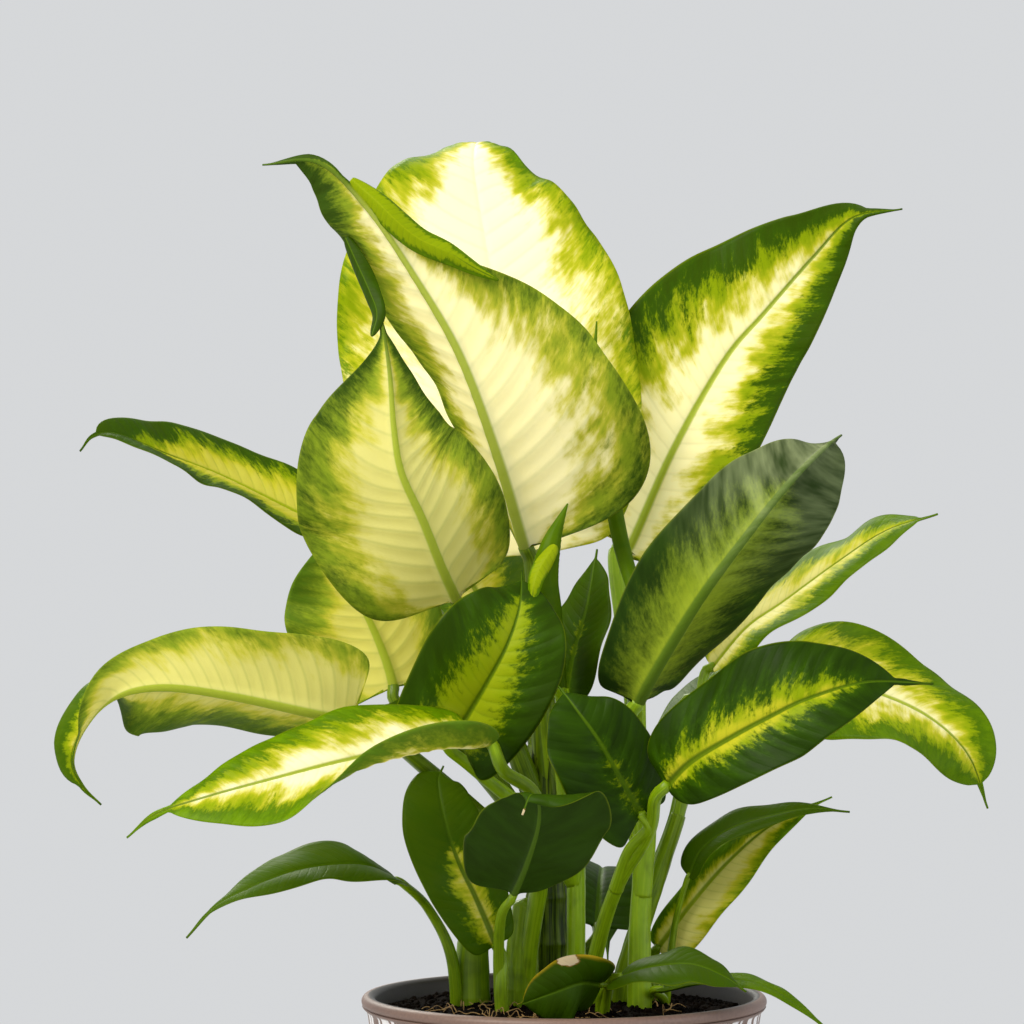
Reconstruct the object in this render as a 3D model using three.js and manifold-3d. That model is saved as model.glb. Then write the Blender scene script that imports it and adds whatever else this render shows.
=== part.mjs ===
// A potted dieffenbachia: variegated leaves on fleshy stalks, which spring from a clump of canes standing
// in the soil of a glazed pot. Millimetres, +Z up, X to the right and Y away from the front. The origin is
// the middle of the pot's flat foot.

import * as THREE from 'three';
import { mergeVertices } from 'three/addons/utils/BufferGeometryUtils.js';
import Module from 'manifold-3d';

const wasm = await Module();
wasm.setup();

// Driving dimensions of the pot and the soil
const POT_HEIGHT = 145;
const RIM_RADIUS = 81;
const FOOT_RADIUS = 55;
const WALL = 4.5;
const FLOOR_THICKNESS = 8;
const LIP_HEIGHT = 6;
const LIP_OVERHANG = 1.2;
const SOIL_BELOW_RIM = 5.5;
const SOIL_DOME = 2.5;
const ROOT_DEPTH = 12.5;

// Thickness of a blade, how far its midrib stands out below, and the clearance between touching pieces
const BLADE_THICKNESS = 0.8;
const RIB_DEPTH = 1.3;
const GAP = 0.3;
const STALK_GAP = 0.8;

// How fast the heart-shaped base lobes fade along a blade, and the half width that its drawn-out tip keeps
const LOBE_LENGTH = 0.07;
const SMALLEST_HALF = 1.2;

// Facets: rows along a blade and columns across it, steps round a stalk and round the pot
const LARGE_ROWS = [0, 0.04, 0.12, 0.23, 0.35, 0.47, 0.59, 0.7, 0.8, 0.89, 0.96, 1];
const SMALL_ROWS = [0, 0.06, 0.18, 0.34, 0.51, 0.68, 0.83, 0.94, 1];
const LARGE_COLUMNS = [-1, -0.68, -0.34, -0.06, 0, 0.06, 0.34, 0.68, 1];
const SMALL_COLUMNS = [-1, -0.55, -0.1, 0, 0.1, 0.55, 1];
const LARGE_HALF = 19;
const STALK_SIDES = 7;
const STALK_STEPS = 6;
const POT_STEPS = 40;

const SOIL_TOP = POT_HEIGHT - SOIL_BELOW_RIM;
const CANE_FOOT = SOIL_TOP - ROOT_DEPTH;

// Colours of the finishes
const GLAZE = '#7d6a66';
const SOIL = '#2a1d14';
const CANE_GREEN = '#6f9a2a';
const DARK_LEAF = '#2f6a17';
const PALE_LEAF = '#c9d67a';

// Each leaf: the points of its midrib from the stalk to the tip, the way its upper side faces from the base
// to the tip, and the largest half widths left and right of the midrib. base and tip shape the outline, with
// one number for both sides or one for each, and end is where along the midrib it closes to the drawn-out
// tip. lobe is the heart-shaped base, fold the angle of the valley along the midrib, curl the bend of each
// half, wave the height, number and start of the waves of the edge, rolls the places where an edge is rolled:
// side, place, length and angle. pale is the share of cream. stalk is the leaf stalk: the piece that it
// belongs to, its path up to the blade and its radii. A stalk with no cane of its own rises from the soil.
const LEAF_DEFAULTS = {
  base: 0.42, tip: 0.95, lobe: 0.18, sweep: 0.35,
  end: 0.93, fold: [18, 8], curl: [-25, -25], wave: [0.07, 3, 0], rolls: [],
};

const LEAVES = {
  back_tall: {
    rib: [[-10, 48, 320], [-16, 60, 364], [-24, 74, 410], [-32, 88, 453], [-37, 108, 485], [-36, 136, 498],
      [-33, 162, 491]],
    faces: [[0, -1, 0.2], [0, -1, 0.25], [0, -0.9, 0.5], [0, 0, 1], [0, 0.8, 0.5]],
    half: [69, 53], base: 0.58, tip: 1.15, fold: [14, 6], curl: [-20, -20],
    wave: [0.09, 4.5, 0.1], pale: 0.8,
    stalk: { cane: 'cane_main', path: [[-6, 16, 222], [-8, 28, 278]], radii: [5, 3] },
  },
  front_tall: {
    rib: [[-15, 8, 323], [-26, -4, 360], [-41, -14, 400], [-59, -20, 431], [-77, -24, 457], [-97, -18, 476],
      [-120, -8, 476]],
    faces: [[0.45, 0.85, 0.2]],
    half: [60, 26], base: [0.72, 0.9], tip: [3, 0.6], lobe: 0.08, fold: [22, 26], curl: [-12, -15],
    pale: 0.8,
    stalk: { cane: 'cane_main', path: [[-6, 12, 222], [-10, 6, 275]], radii: [6, 3.2] },
  },
  left_heart: {
    rib: [[-43, -22, 303], [-49, -32, 317], [-56, -40, 335], [-64, -44, 353], [-67, -42, 370],
      [-69, -34, 393], [-73, -18, 418]],
    faces: [[-0.3, 0.9, 0.2]],
    half: [35, 44], base: [0.3, 0.62], tip: [1.15, 1.45], lobe: 0.12, fold: [22, 22],
    curl: [-20, -20], pale: 0.6,
    stalk: { cane: 'cane_main', path: [[-8, 12, 212], [-24, -4, 255]], radii: [5, 2.5] },
  },
  left_high: {
    rib: [[-73, 44, 317], [-91, 42, 329], [-110, 38, 338], [-138, 28, 352], [-160, 14, 361], [-179, 2, 369],
      [-188, -4, 368], [-193, -6, 362]],
    faces: [[0.3, -0.5, 0.8]],
    half: [25, 20], base: 0.4, tip: 0.6, fold: [22, 22], curl: [-10, -10], pale: 0.4,
    stalk: { cane: 'cane_main', path: [[-9, 18, 222], [-38, 27, 278]], radii: [4, 2.5] },
  },
  left_middle: {
    rib: [[-82, -52, 257], [-99, -62, 261], [-130, -72, 268], [-155, -78, 271], [-173, -78, 267],
      [-185, -68, 255], [-190, -62, 242], [-186, -60, 232], [-179, -60, 225]],
    faces: [[0, 0.8, 0.6], [0, 0.83, 0.55], [0, 0.87, 0.45], [0, 1, 0.2], [-0.8, 0.2, 0.3], [-0.7, -0.7, 0.2],
      [-0.6, -0.8, 0.2]],
    half: [28, 27], base: 0.35, tip: [1.5, 0.8], fold: [38, 30], curl: [-15, -15], pale: 0.6,
    stalk: { cane: 'cane_main', path: [[-12, 12, 195], [-56, -14, 237]], radii: [4, 2.5] },
  },
  left_inner: {
    rib: [[-68, 6, 267], [-72, 8, 280], [-79, 10, 296], [-89, 11, 314], [-98, 11, 330]],
    faces: [[0, 0.95, 0.2]],
    half: [28, 32], base: 0.4, tip: 0.7, pale: 0.55,
    stalk: { cane: 'cane_main', path: [[-10, 14, 205], [-40, 11, 240]], radii: [4, 2.5] },
  },
  left_low: {
    rib: [[-35, -62, 249], [-54, -74, 249], [-83, -86, 244], [-112, -94, 237], [-138, -98, 230],
      [-155, -96, 224], [-166, -92, 215]],
    faces: [[0, -0.7, 0.7]],
    half: [29, 23], tip: [0.8, 0.9], end: 0.86, rolls: [['left', 0.2, 0.26, 125]], pale: 0.8,
    stalk: {
      cane: 'cane_low_left',
      path: [[-18, -6, CANE_FOOT], [-14, -10, 165], [-9, -24, 200], [-12, -42, 227], [-24, -58, 238]],
      radii: [4.5, 2.4],
    },
  },
  left_drooping: {
    rib: [[-66, -30, 193], [-77, -42, 200], [-91, -50, 201], [-106, -58, 199], [-122, -62, 193],
      [-135, -64, 186], [-146, -62, 174]],
    faces: [[0, -0.45, 0.9]],
    half: [13, 15], base: 0.5, tip: 1.3, end: 0.9, pale: 0.1,
    stalk: {
      cane: 'cane_left',
      path: [[-42, 0, CANE_FOOT], [-45, -4, 160], [-54, -10, 180]],
      radii: [2.8, 1.6],
    },
  },
  centre_broad: {
    rib: [[-43, -44, 251], [-38, -50, 259], [-31, -56, 271], [-23, -58, 286], [-18, -53, 301],
      [-17, -42, 315]],
    faces: [[0.1, -0.95, 0.25]],
    half: [28, 25], tip: 0.8, lobe: 0.45, fold: [20, 20], pale: 0.3,
    stalk: { cane: 'cane_centre', path: [[4, -6, 190], [-12, -12, 215], [-36, -28, 237]], radii: [3.5, 2.2] },
  },
  right_tall: {
    rib: [[26, 58, 321], [30, 64, 327], [47, 80, 364], [69, 91, 402], [86, 95, 422], [107, 95, 446],
      [123, 89, 462], [143, 79, 465]],
    faces: [[0.1, -0.95, 0.25]],
    half: [46, 31], base: 0.4, tip: 0.9, fold: [14, 14], curl: [-15, -15], pale: 0.6,
    stalk: { cane: 'cane_right', path: [[30, -8, 205], [28, 10, 262]], radii: [4.3, 3.2] },
  },
  right_broad: {
    rib: [[28, -40, 263], [34, -46, 275], [52, -56, 305], [72, -60, 332], [88, -56, 351],
      [100, -44, 362], [109, -24, 368]],
    faces: [[-0.45, 0.83, 0.34], [-0.2, 0.9, 0.1], [0.3, 0.95, -0.2]],
    half: [32, 26], base: 0.36, tip: 0.6, fold: [34, 30], curl: [-10, -10], pale: 0.25,
    stalk: { cane: 'cane_right', path: [[31, -6, 185], [33, -12, 215], [31, -22, 240]], radii: [4, 3] },
  },
  right_slim: {
    rib: [[62, 55, 273], [76, 50, 290], [91, 44, 301], [112, 34, 317], [131, 24, 330], [151, 14, 337]],
    faces: [[-0.3, -0.5, 0.8]],
    half: [18.5, 19], base: 0.4, tip: 0.65, pale: 0.5,
    stalk: { cane: 'cane_far_right', path: [[30, 9, 170], [52, 37, 230]], radii: [3.3, 2] },
  },
  right_front: {
    rib: [[38, -75, 233], [47, -84, 243], [62, -94, 253], [76, -100, 261], [90, -104, 268], [112, -101, 274],
      [138, -92, 273]],
    faces: [[0, -0.9, 0.45]],
    half: [26, 20], base: 0.6, tip: 0.9, end: 0.87, fold: [16, 16], pale: 0.25,
    stalk: {
      cane: 'stalks_front',
      path: [[8, -12, CANE_FOOT], [12, -16, 160], [20, -32, 190], [32, -56, 214]],
      radii: [3.2, 2.4],
    },
  },
  right_far: {
    rib: [[56, 24, 260], [79, 8, 266], [102, -8, 271], [124, -24, 266], [143, -34, 257], [157, -40, 243],
      [165, -38, 222]],
    faces: [[0.2, -0.75, 0.62]],
    half: [25, 30], base: 0.35, tip: 0.55, fold: [18, 18], wave: [0.22, 2.1, 0.45], pale: 0.55,
    stalk: { cane: 'cane_far_right', path: [[27, 9, 158], [37, 7, 190], [47, 10, 222]], radii: [3.5, 2.8] },
  },
  front_dark: {
    rib: [[29, -62, 221], [20, -72, 237], [12, -76, 251], [4, -74, 262], [-3, -66, 271]],
    faces: [[0.1, -0.9, 0.4]],
    half: [22, 18], base: 0.5, tip: 0.8, lobe: 0.3, pale: 0.08,
    stalk: { cane: 'stalks_front', path: [[20, -32, 190], [25, -46, 206]], radii: [3, 2.2] },
  },
  front_cupped: {
    rib: [[-20, -70, 192], [-15, -90, 206], [-11, -106, 221], [-11, -114, 231], [-14, -122, 233],
      [-17, -124, 226]],
    faces: [[0, 0.7, 0.7], [0, 0.7, 0.7], [0, 0.3, 1], [0, -0.7, 0.7]],
    half: [26, 25], base: [0.75, 0.6], tip: [0.55, 0.95], lobe: 0.2, pale: 0.02,
    stalk: {
      cane: 'stalks_front_left',
      path: [[-24, -20, CANE_FOOT], [-26, -24, 160], [-25, -42, 180]],
      radii: [2.8, 1.6],
    },
  },
  lower_left: {
    rib: [[-27, -24, 167], [-35, -29, 186], [-42, -32, 201], [-47, -30, 216], [-50, -22, 231],
      [-48, -14, 237]],
    faces: [[0.2, -0.9, 0.3]],
    half: [17, 14], base: 0.4, tip: 0.4, pale: 0.35,
    stalk: { cane: 'stalks_front_left', path: [[-24, -20, CANE_FOOT], [-25, -24, 150]], radii: [2.8, 2.2] },
  },
  rim_torn: {
    rib: [[14, -44, 154], [6, -56, 156], [-5, -62, 153], [-19, -62, 148]],
    faces: [[0, -0.9, -0.2]],
    half: [14, 11.5], base: 0.4, tip: 0.7, pale: 0.05,
    stalk: { cane: 'stalks_rim', path: [[14, -24, CANE_FOOT], [14, -30, 146]], radii: [2.4, 1.6] },
  },
  rim_right: {
    rib: [[21, -46, 157], [33, -56, 162], [48, -64, 164], [60, -68, 160], [69, -68, 154]],
    faces: [[0.1, -0.5, 0.85]],
    half: [10, 14], base: 0.4, tip: 0.8, pale: 0.05,
    stalk: { cane: 'stalks_rim', path: [[14, -24, CANE_FOOT], [16, -32, 146]], radii: [2.4, 1.6] },
  },
  rim_hanging: {
    rib: [[38, -18, 149], [53, -34, 154], [68, -48, 156], [79, -58, 154], [89, -62, 148], [103, -64, 137]],
    faces: [[0.1, -0.4, 0.9]],
    half: [6, 6], base: 0.4, tip: 1, pale: 0.05,
    stalk: { cane: 'stalks_low_right', path: [[40, 12, CANE_FOOT], [40, 0, 142]], radii: [2.4, 1.5] },
  },
  right_small_dark: {
    rib: [[50, 0, 192], [55, -4, 203], [67, -8, 212], [86, -12, 218], [99, -14, 220], [113, -16, 219]],
    faces: [[-0.3, -0.6, 0.75]],
    half: [8, 6], base: 0.4, tip: 1, pale: 0.05,
    stalk: { cane: 'stalks_low_right', path: [[40, 12, CANE_FOOT], [44, 7, 168]], radii: [2, 1.1] },
  },
  right_small_pale: {
    rib: [[38, 17, 161], [51, 12, 179], [65, 7, 196], [80, 2, 210], [94, -1, 218], [107, -3, 224]],
    faces: [[-0.3, -0.8, 0.5]],
    half: [8, 14], base: 0.4, tip: 1, pale: 0.5,
    stalk: { cane: 'stalks_low_right', path: [[40, 12, CANE_FOOT], [37, 15, 145]], radii: [3, 2] },
  },
  inner_upright: {
    rib: [[1, -20, 266], [4, -22, 283], [9, -20, 301], [13, -12, 323]],
    faces: [[-0.7, -0.7, 0.2]],
    half: [14, 14], base: 0.4, tip: 0.8, pale: 0.1,
    stalk: { cane: 'cane_centre', path: [[4, -6, 200], [2, -14, 235]], radii: [3, 2] },
  },
  inner_hidden: {
    rib: [[-38, -10, 250], [-54, -10, 255], [-67, -9, 259], [-79, -7, 260]],
    faces: [[0, -0.3, 0.9]],
    half: [12, 12], base: 0.4, tip: 0.6, pale: 0.1,
    stalk: { cane: 'cane_main', path: [[-10, 10, 205], [-25, -2, 230]], radii: [3, 1.8] },
  },
  rear_left: {
    rib: [[-25, 44, 285], [-45, 85, 318], [-68, 125, 328], [-88, 158, 312], [-98, 178, 285]],
    faces: [[-0.2, 0.2, 1]],
    half: [26, 26], pale: 0.4,
    stalk: { cane: 'cane_main', path: [[-8, 18, 222], [-14, 32, 258]], radii: [3.5, 2.5] },
  },
  rear_right: {
    rib: [[52, 48, 232], [72, 82, 262], [94, 112, 268], [112, 138, 258], [122, 158, 240]],
    faces: [[0.2, 0.3, 1]],
    half: [24, 24], pale: 0.4,
    stalk: { cane: 'cane_far_right', path: [[29, 9, 165], [42, 28, 200]], radii: [3, 2.2] },
  },
  rear_low: {
    rib: [[14, 34, 168], [16, 64, 186], [18, 98, 186], [20, 128, 168], [21, 146, 142]],
    faces: [[0.2, 0.3, 1]],
    half: [22, 22], pale: 0.15,
    stalk: { cane: 'cane_main', path: [[0, 18, 146], [7, 25, 157]], radii: [3, 2.2] },
  },
};

// Young leaves still rolled up: the points of the axis from the stalk to the tip and the radius at the base,
// at the belly and at the tip
const FURLED = {
  centre_young: {
    axis: [[-2, -32, 268], [-4, -34, 280], [-7, -36, 296], [-9, -37, 311], [-6, -38, 325], [1, -36, 341]],
    radii: [2.8, 6, 0.4], belly: 0.5,
    stalk: { cane: 'cane_centre', path: [[4, -6, 190], [0, -20, 225], [-2, -27, 252]], radii: [3.5, 2.6] },
  },
  spear: {
    axis: [[28, 10, 306], [22, 26, 330], [17, 33, 363], [13, 38, 392], [14, 42, 416]],
    radii: [3.5, 3.8, 0.4], belly: 0.2,
    stalk: { cane: 'cane_right', path: [[30, -8, 205], [29, -2, 260]], radii: [4, 3.5] },
  },
};

// Canes: the path of each from its foot in the soil to its top, and its radii
const CANES = {
  cane_left: { path: [[-37, 4, CANE_FOOT], [-37, 4, 155], [-36, 4, 170]], radii: [8.5, 6] },
  cane_low_left: { path: [[-18, -4, CANE_FOOT], [-17, -6, 160], [-15, -9, 182]], radii: [8.5, 5.4] },
  cane_main: { path: [[-6, 14, CANE_FOOT], [-6, 13, 180], [-7, 12, 244]], radii: [10, 7] },
  cane_centre: { path: [[4.5, -4, CANE_FOOT], [4.5, -6, 195], [2, -10, 212]], radii: [3.9, 3.6] },
  cane_right: {
    path: [[30, -6, CANE_FOOT], [30, -6, 170], [31, -6, 190], [31, -10, 215]],
    radii: [5.2, 3.6],
  },
  cane_far_right: {
    path: [[22, 10, CANE_FOOT], [26, 9, 155], [37, 6, 190], [46, 8, 216]],
    radii: [5, 3],
  },
};

const vector = (p) => new THREE.Vector3(p[0], p[1], p[2]);
const radians = THREE.MathUtils.degToRad;

function smoothCurve(points) {
  return new THREE.CatmullRomCurve3(points.map(vector), false, 'catmullrom', 0.5);
}

// The value at share u of a list of evenly spaced numbers or vectors
function along(list, u) {
  const place = u * (list.length - 1);
  const from = Math.min(Math.floor(place), Math.max(list.length - 2, 0));
  const to = Math.min(from + 1, list.length - 1);
  const share = place - from;
  if (Array.isArray(list[0])) {
    return vector(list[from]).lerp(vector(list[to]), share);
  }
  return list[from] + (list[to] - list[from]) * share;
}

// Half width of a blade as a share of its largest, at share u of its length. side is 0 left and 1 right
function outline(leaf, u, side) {
  const w = Math.min(u / leaf.end, 1);
  const [base, tip] = [leaf.base, leaf.tip].map((value) => (Array.isArray(value) ? value[side] : value));
  const top = base / (base + tip);
  const peak = top ** base * (1 - top) ** tip;
  return (w ** base * (1 - w) ** tip) / peak;
}

// One point of a blade: u runs from the stalk to the tip, v from the left edge to the right
function bladePoint(leaf, curve, u, v) {
  const tangent = curve.getTangentAt(u);
  const face = along(leaf.faces, u);
  const up = face.addScaledVector(tangent, -face.dot(tangent)).normalize();
  const side = new THREE.Vector3().crossVectors(tangent, up);
  const right = v > 0 ? 1 : 0;
  const out = Math.abs(v);
  const half = leaf.half[right] * outline(leaf, u, right) + SMALLEST_HALF * Math.sqrt(1 - 0.9 * u);
  const fold = radians(along(leaf.fold, u));
  let curl = radians(leaf.curl[right]);
  for (const [edge, at, length, angle] of leaf.rolls) {
    if ((edge === 'right') === (right === 1)) {
      curl += radians(angle) * Math.exp(-(((u - at) / length) ** 2));
    }
  }
  const across = (half * (Math.sin(fold + curl * out) - Math.sin(fold))) / curl;
  const [height, count, start] = leaf.wave;
  const wave = height * half * out ** 2 * Math.sin(2 * Math.PI * (count * u + start + 0.37 * right));
  const rise = (half * (Math.cos(fold) - Math.cos(fold + curl * out))) / curl + wave;
  const lobe = leaf.lobe * 2 * out * (u / LOBE_LENGTH) * Math.exp(1 - u / LOBE_LENGTH);
  const forward = half * (leaf.sweep * out ** 2 * 4 * u * (1 - u) - lobe);
  return curve.getPointAt(u)
    .addScaledVector(side, across * Math.sign(v))
    .addScaledVector(up, rise)
    .addScaledVector(tangent, forward);
}

// The outward normal of a grid of points at row i and column j
function gridNormal(grid, i, j) {
  const rows = grid.length - 1;
  const columns = grid[0].length - 1;
  const forward = grid[Math.min(i + 1, rows)][j].clone().sub(grid[Math.max(i - 1, 0)][j]);
  const sideways = grid[i][Math.min(j + 1, columns)].clone().sub(grid[i][Math.max(j - 1, 0)]);
  return sideways.cross(forward).normalize();
}

function geometryOf(positions, triangles) {
  const geometry = new THREE.BufferGeometry();
  geometry.setAttribute('position', new THREE.Float32BufferAttribute(positions, 3));
  geometry.setIndex(triangles);
  geometry.computeVertexNormals();
  return geometry;
}

// A blade as one closed body: the same grid above and below, split alike, and a strip round the edge
function bladeGeometry(leaf) {
  const curve = smoothCurve(leaf.rib);
  const large = Math.max(...leaf.half) > LARGE_HALF;
  const us = large ? LARGE_ROWS : SMALL_ROWS;
  const vs = large ? LARGE_COLUMNS : SMALL_COLUMNS;
  const middle = us.map((u) => vs.map((v) => bladePoint(leaf, curve, u, v)));
  const positions = [];
  for (const side of [1, -1]) {
    us.forEach((u, i) => vs.forEach((v, j) => {
      const rib = side < 0 && v === 0 ? RIB_DEPTH * (1 - u) : 0;
      const point = middle[i][j].clone();
      point.addScaledVector(gridNormal(middle, i, j), side * (BLADE_THICKNESS / 2 + rib));
      positions.push(point.x, point.y, point.z);
    }));
  }
  const width = vs.length;
  const below = us.length * width;
  const triangles = [];
  for (let i = 0; i < us.length - 1; i += 1) {
    for (let j = 0; j < width - 1; j += 1) {
      const a = i * width + j;
      const [b, c, d] = [a + 1, a + width + 1, a + width];
      triangles.push(a, b, c, a, c, d);
      triangles.push(below + a, below + c, below + b, below + a, below + d, below + c);
    }
  }
  const edge = [];
  for (let j = 0; j < width - 1; j += 1) edge.push(j);
  for (let i = 0; i < us.length - 1; i += 1) edge.push(i * width + width - 1);
  for (let j = width - 1; j > 0; j -= 1) edge.push((us.length - 1) * width + j);
  for (let i = us.length - 1; i > 0; i -= 1) edge.push(i * width);
  edge.forEach((a, k) => {
    const b = edge[(k + 1) % edge.length];
    triangles.push(below + a, below + b, b, below + a, b, a);
  });
  return geometryOf(positions, triangles);
}

// A round body along a path, with the radius at share u from radiusAt and both ends closed
function tubeGeometry(points, radiusAt, steps = STALK_STEPS) {
  const curve = smoothCurve(points);
  const positions = [];
  const triangles = [];
  const towards = new THREE.Vector3(0.3, 1, 0.1);
  for (let i = 0; i <= steps; i += 1) {
    const u = i / steps;
    const centre = curve.getPointAt(u);
    const tangent = curve.getTangentAt(u);
    const across = new THREE.Vector3().crossVectors(tangent, towards).normalize();
    const above = new THREE.Vector3().crossVectors(tangent, across);
    for (let k = 0; k < STALK_SIDES; k += 1) {
      const turn = (2 * Math.PI * k) / STALK_SIDES;
      const point = centre.clone();
      point.addScaledVector(across, radiusAt(u) * Math.cos(turn));
      point.addScaledVector(above, radiusAt(u) * Math.sin(turn));
      positions.push(point.x, point.y, point.z);
    }
  }
  for (let i = 0; i < steps; i += 1) {
    for (let k = 0; k < STALK_SIDES; k += 1) {
      const a = i * STALK_SIDES + k;
      const b = i * STALK_SIDES + ((k + 1) % STALK_SIDES);
      triangles.push(a, b, b + STALK_SIDES, a, b + STALK_SIDES, a + STALK_SIDES);
    }
  }
  const last = steps * STALK_SIDES;
  for (let k = 1; k < STALK_SIDES - 1; k += 1) {
    triangles.push(0, k + 1, k);
    triangles.push(last, last + k, last + k + 1);
  }
  return geometryOf(positions, triangles);
}

function taper([from, to], extra = 0) {
  return (u) => from + (to - from) * u + extra;
}

// A furled leaf swells from its base to its belly and narrows to its tip
function furledGeometry({ axis, radii, belly }) {
  const [base, middle, tip] = radii;
  const swell = (u) => (u < belly
    ? base + (middle - base) * Math.sin((Math.PI / 2) * (u / belly))
    : tip + (middle - tip) * Math.cos((Math.PI / 2) * ((u - belly) / (1 - belly))));
  return tubeGeometry(axis, swell, 10);
}

function solid(geometry) {
  const bare = geometry.clone();
  bare.deleteAttribute('normal');
  bare.deleteAttribute('uv');
  const merged = mergeVertices(bare, 1e-3);
  const vertProperties = new Float32Array(merged.attributes.position.array);
  const triVerts = new Uint32Array(merged.index.array);
  return new wasm.Manifold(new wasm.Mesh({ numProp: 3, vertProperties, triVerts }));
}

function solidGeometry(body) {
  const mesh = body.getMesh();
  return geometryOf(mesh.vertProperties, new THREE.BufferAttribute(mesh.triVerts, 1));
}

// The path of a leaf stalk ends in line with the midrib, a small gap short of the blade
function stalkPath(leaf) {
  const start = vector((leaf.rib ?? leaf.axis)[0]);
  const tangent = smoothCurve(leaf.rib ?? leaf.axis).getTangentAt(0);
  const approach = start.clone().addScaledVector(tangent, -3 * leaf.stalk.radii[1]).toArray();
  const end = start.clone().addScaledVector(tangent, -STALK_GAP).toArray();
  return [...leaf.stalk.path, approach, end];
}

// Every cane and stalk that stands in the soil, as a path and radii
function rootedParts(name) {
  const parts = CANES[name] ? [CANES[name]] : [];
  for (const leaf of [...Object.values(LEAVES), ...Object.values(FURLED)]) {
    if (leaf.stalk.cane === name) {
      parts.push({ path: stalkPath(leaf), radii: leaf.stalk.radii });
    }
  }
  return parts;
}

function caneGeometry(name) {
  const bodies = rootedParts(name).map(({ path, radii }) => solid(tubeGeometry(path, taper(radii))));
  return solidGeometry(bodies.reduce((whole, body) => whole.add(body)));
}

// Radius of the pot's inside at height z, and of its outside
function insideRadius(z) {
  const share = (z - FLOOR_THICKNESS) / (POT_HEIGHT - FLOOR_THICKNESS);
  const bottom = FOOT_RADIUS - WALL;
  const top = RIM_RADIUS - LIP_OVERHANG - WALL;
  return bottom + (top - bottom) * share ** 0.85;
}

function turned(profile) {
  const geometry = new THREE.LatheGeometry(profile.map(([r, z]) => new THREE.Vector2(r, z)), POT_STEPS);
  geometry.rotateX(Math.PI / 2);
  return geometry;
}

// The wall's levels, from just above the floor to just below the lip
function wallLevels() {
  const low = FLOOR_THICKNESS + 6;
  const high = POT_HEIGHT - LIP_HEIGHT - 1;
  return [0, 0.4, 1].map((share) => low + (high - low) * share);
}

function potGeometry() {
  const outside = wallLevels().map((z) => [insideRadius(z) + WALL, z]);
  const inside = wallLevels().reverse().map((z) => [insideRadius(z), z]);
  const lipFoot = POT_HEIGHT - LIP_HEIGHT;
  return turned([
    [0, 0], [FOOT_RADIUS - 2, 0], [FOOT_RADIUS, 2],
    ...outside,
    [RIM_RADIUS - 0.8, lipFoot], [RIM_RADIUS, lipFoot + 2], [RIM_RADIUS, POT_HEIGHT - 2.5],
    [RIM_RADIUS - 0.8, POT_HEIGHT - 0.8], [RIM_RADIUS - 2.5, POT_HEIGHT],
    [RIM_RADIUS - 4.5, POT_HEIGHT - 0.6], [insideRadius(POT_HEIGHT), POT_HEIGHT - 3],
    ...inside,
    [FOOT_RADIUS - WALL - 4, FLOOR_THICKNESS], [0, FLOOR_THICKNESS],
  ]);
}

// The soil fills the pot to below the rim, with a plain hole for each cane and stalk that stands in it
function soilGeometry() {
  const wall = wallLevels().filter((z) => z < SOIL_TOP - 3).map((z) => [insideRadius(z) - GAP, z]);
  const edge = insideRadius(SOIL_TOP - 2) - GAP - 0.2;
  let body = solid(turned([
    [0, FLOOR_THICKNESS + GAP], [FOOT_RADIUS - WALL - 5, FLOOR_THICKNESS + GAP],
    ...wall,
    [edge, SOIL_TOP - 2], [edge * 0.6, SOIL_TOP + SOIL_DOME * 0.5],
    [0, SOIL_TOP + SOIL_DOME],
  ]));
  for (const name of CANE_NAMES) {
    for (const { path, radii } of rootedParts(name)) {
      if (path[0][2] === CANE_FOOT) {
        const foot = [path[0][0], path[0][1], CANE_FOOT - GAP];
        body = body.subtract(solid(tubeGeometry([foot, ...path.slice(1)], taper(radii, GAP))));
      }
    }
  }
  return solidGeometry(body);
}

const CANE_NAMES = [
  'cane_main', 'cane_centre', 'cane_left', 'cane_low_left', 'cane_right', 'cane_far_right', 'stalks_front',
  'stalks_front_left', 'stalks_rim', 'stalks_low_right',
];

function piece(name, geometry, color, roughness) {
  const mesh = new THREE.Mesh(geometry, new THREE.MeshStandardMaterial({ color, roughness, metalness: 0 }));
  mesh.name = name;
  return mesh;
}

const plant = new THREE.Group();
plant.add(piece('pot', potGeometry(), GLAZE, 0.3));
plant.add(piece('soil', soilGeometry(), SOIL, 1));
for (const name of CANE_NAMES) {
  plant.add(piece(name, caneGeometry(name), CANE_GREEN, 0.5));
}
for (const [name, values] of Object.entries(LEAVES)) {
  const leaf = { ...LEAF_DEFAULTS, ...values };
  const color = new THREE.Color(DARK_LEAF).lerp(new THREE.Color(PALE_LEAF), leaf.pale);
  plant.add(piece(`leaf_${name}`, bladeGeometry(leaf), color, 0.45));
}
for (const [name, values] of Object.entries(FURLED)) {
  plant.add(piece(`leaf_${name}`, furledGeometry(values), DARK_LEAF, 0.45));
}

export default plant;
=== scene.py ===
"""A potted dieffenbachia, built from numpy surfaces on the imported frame.

Every leaf is one formula, read from a table of its midrib, its facing and its half widths. The canes and leaf
stalks are round bodies along paths, and the pot is one turned profile. Sizes in the tables are millimetres.
"""

import math
from functools import partial

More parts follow.
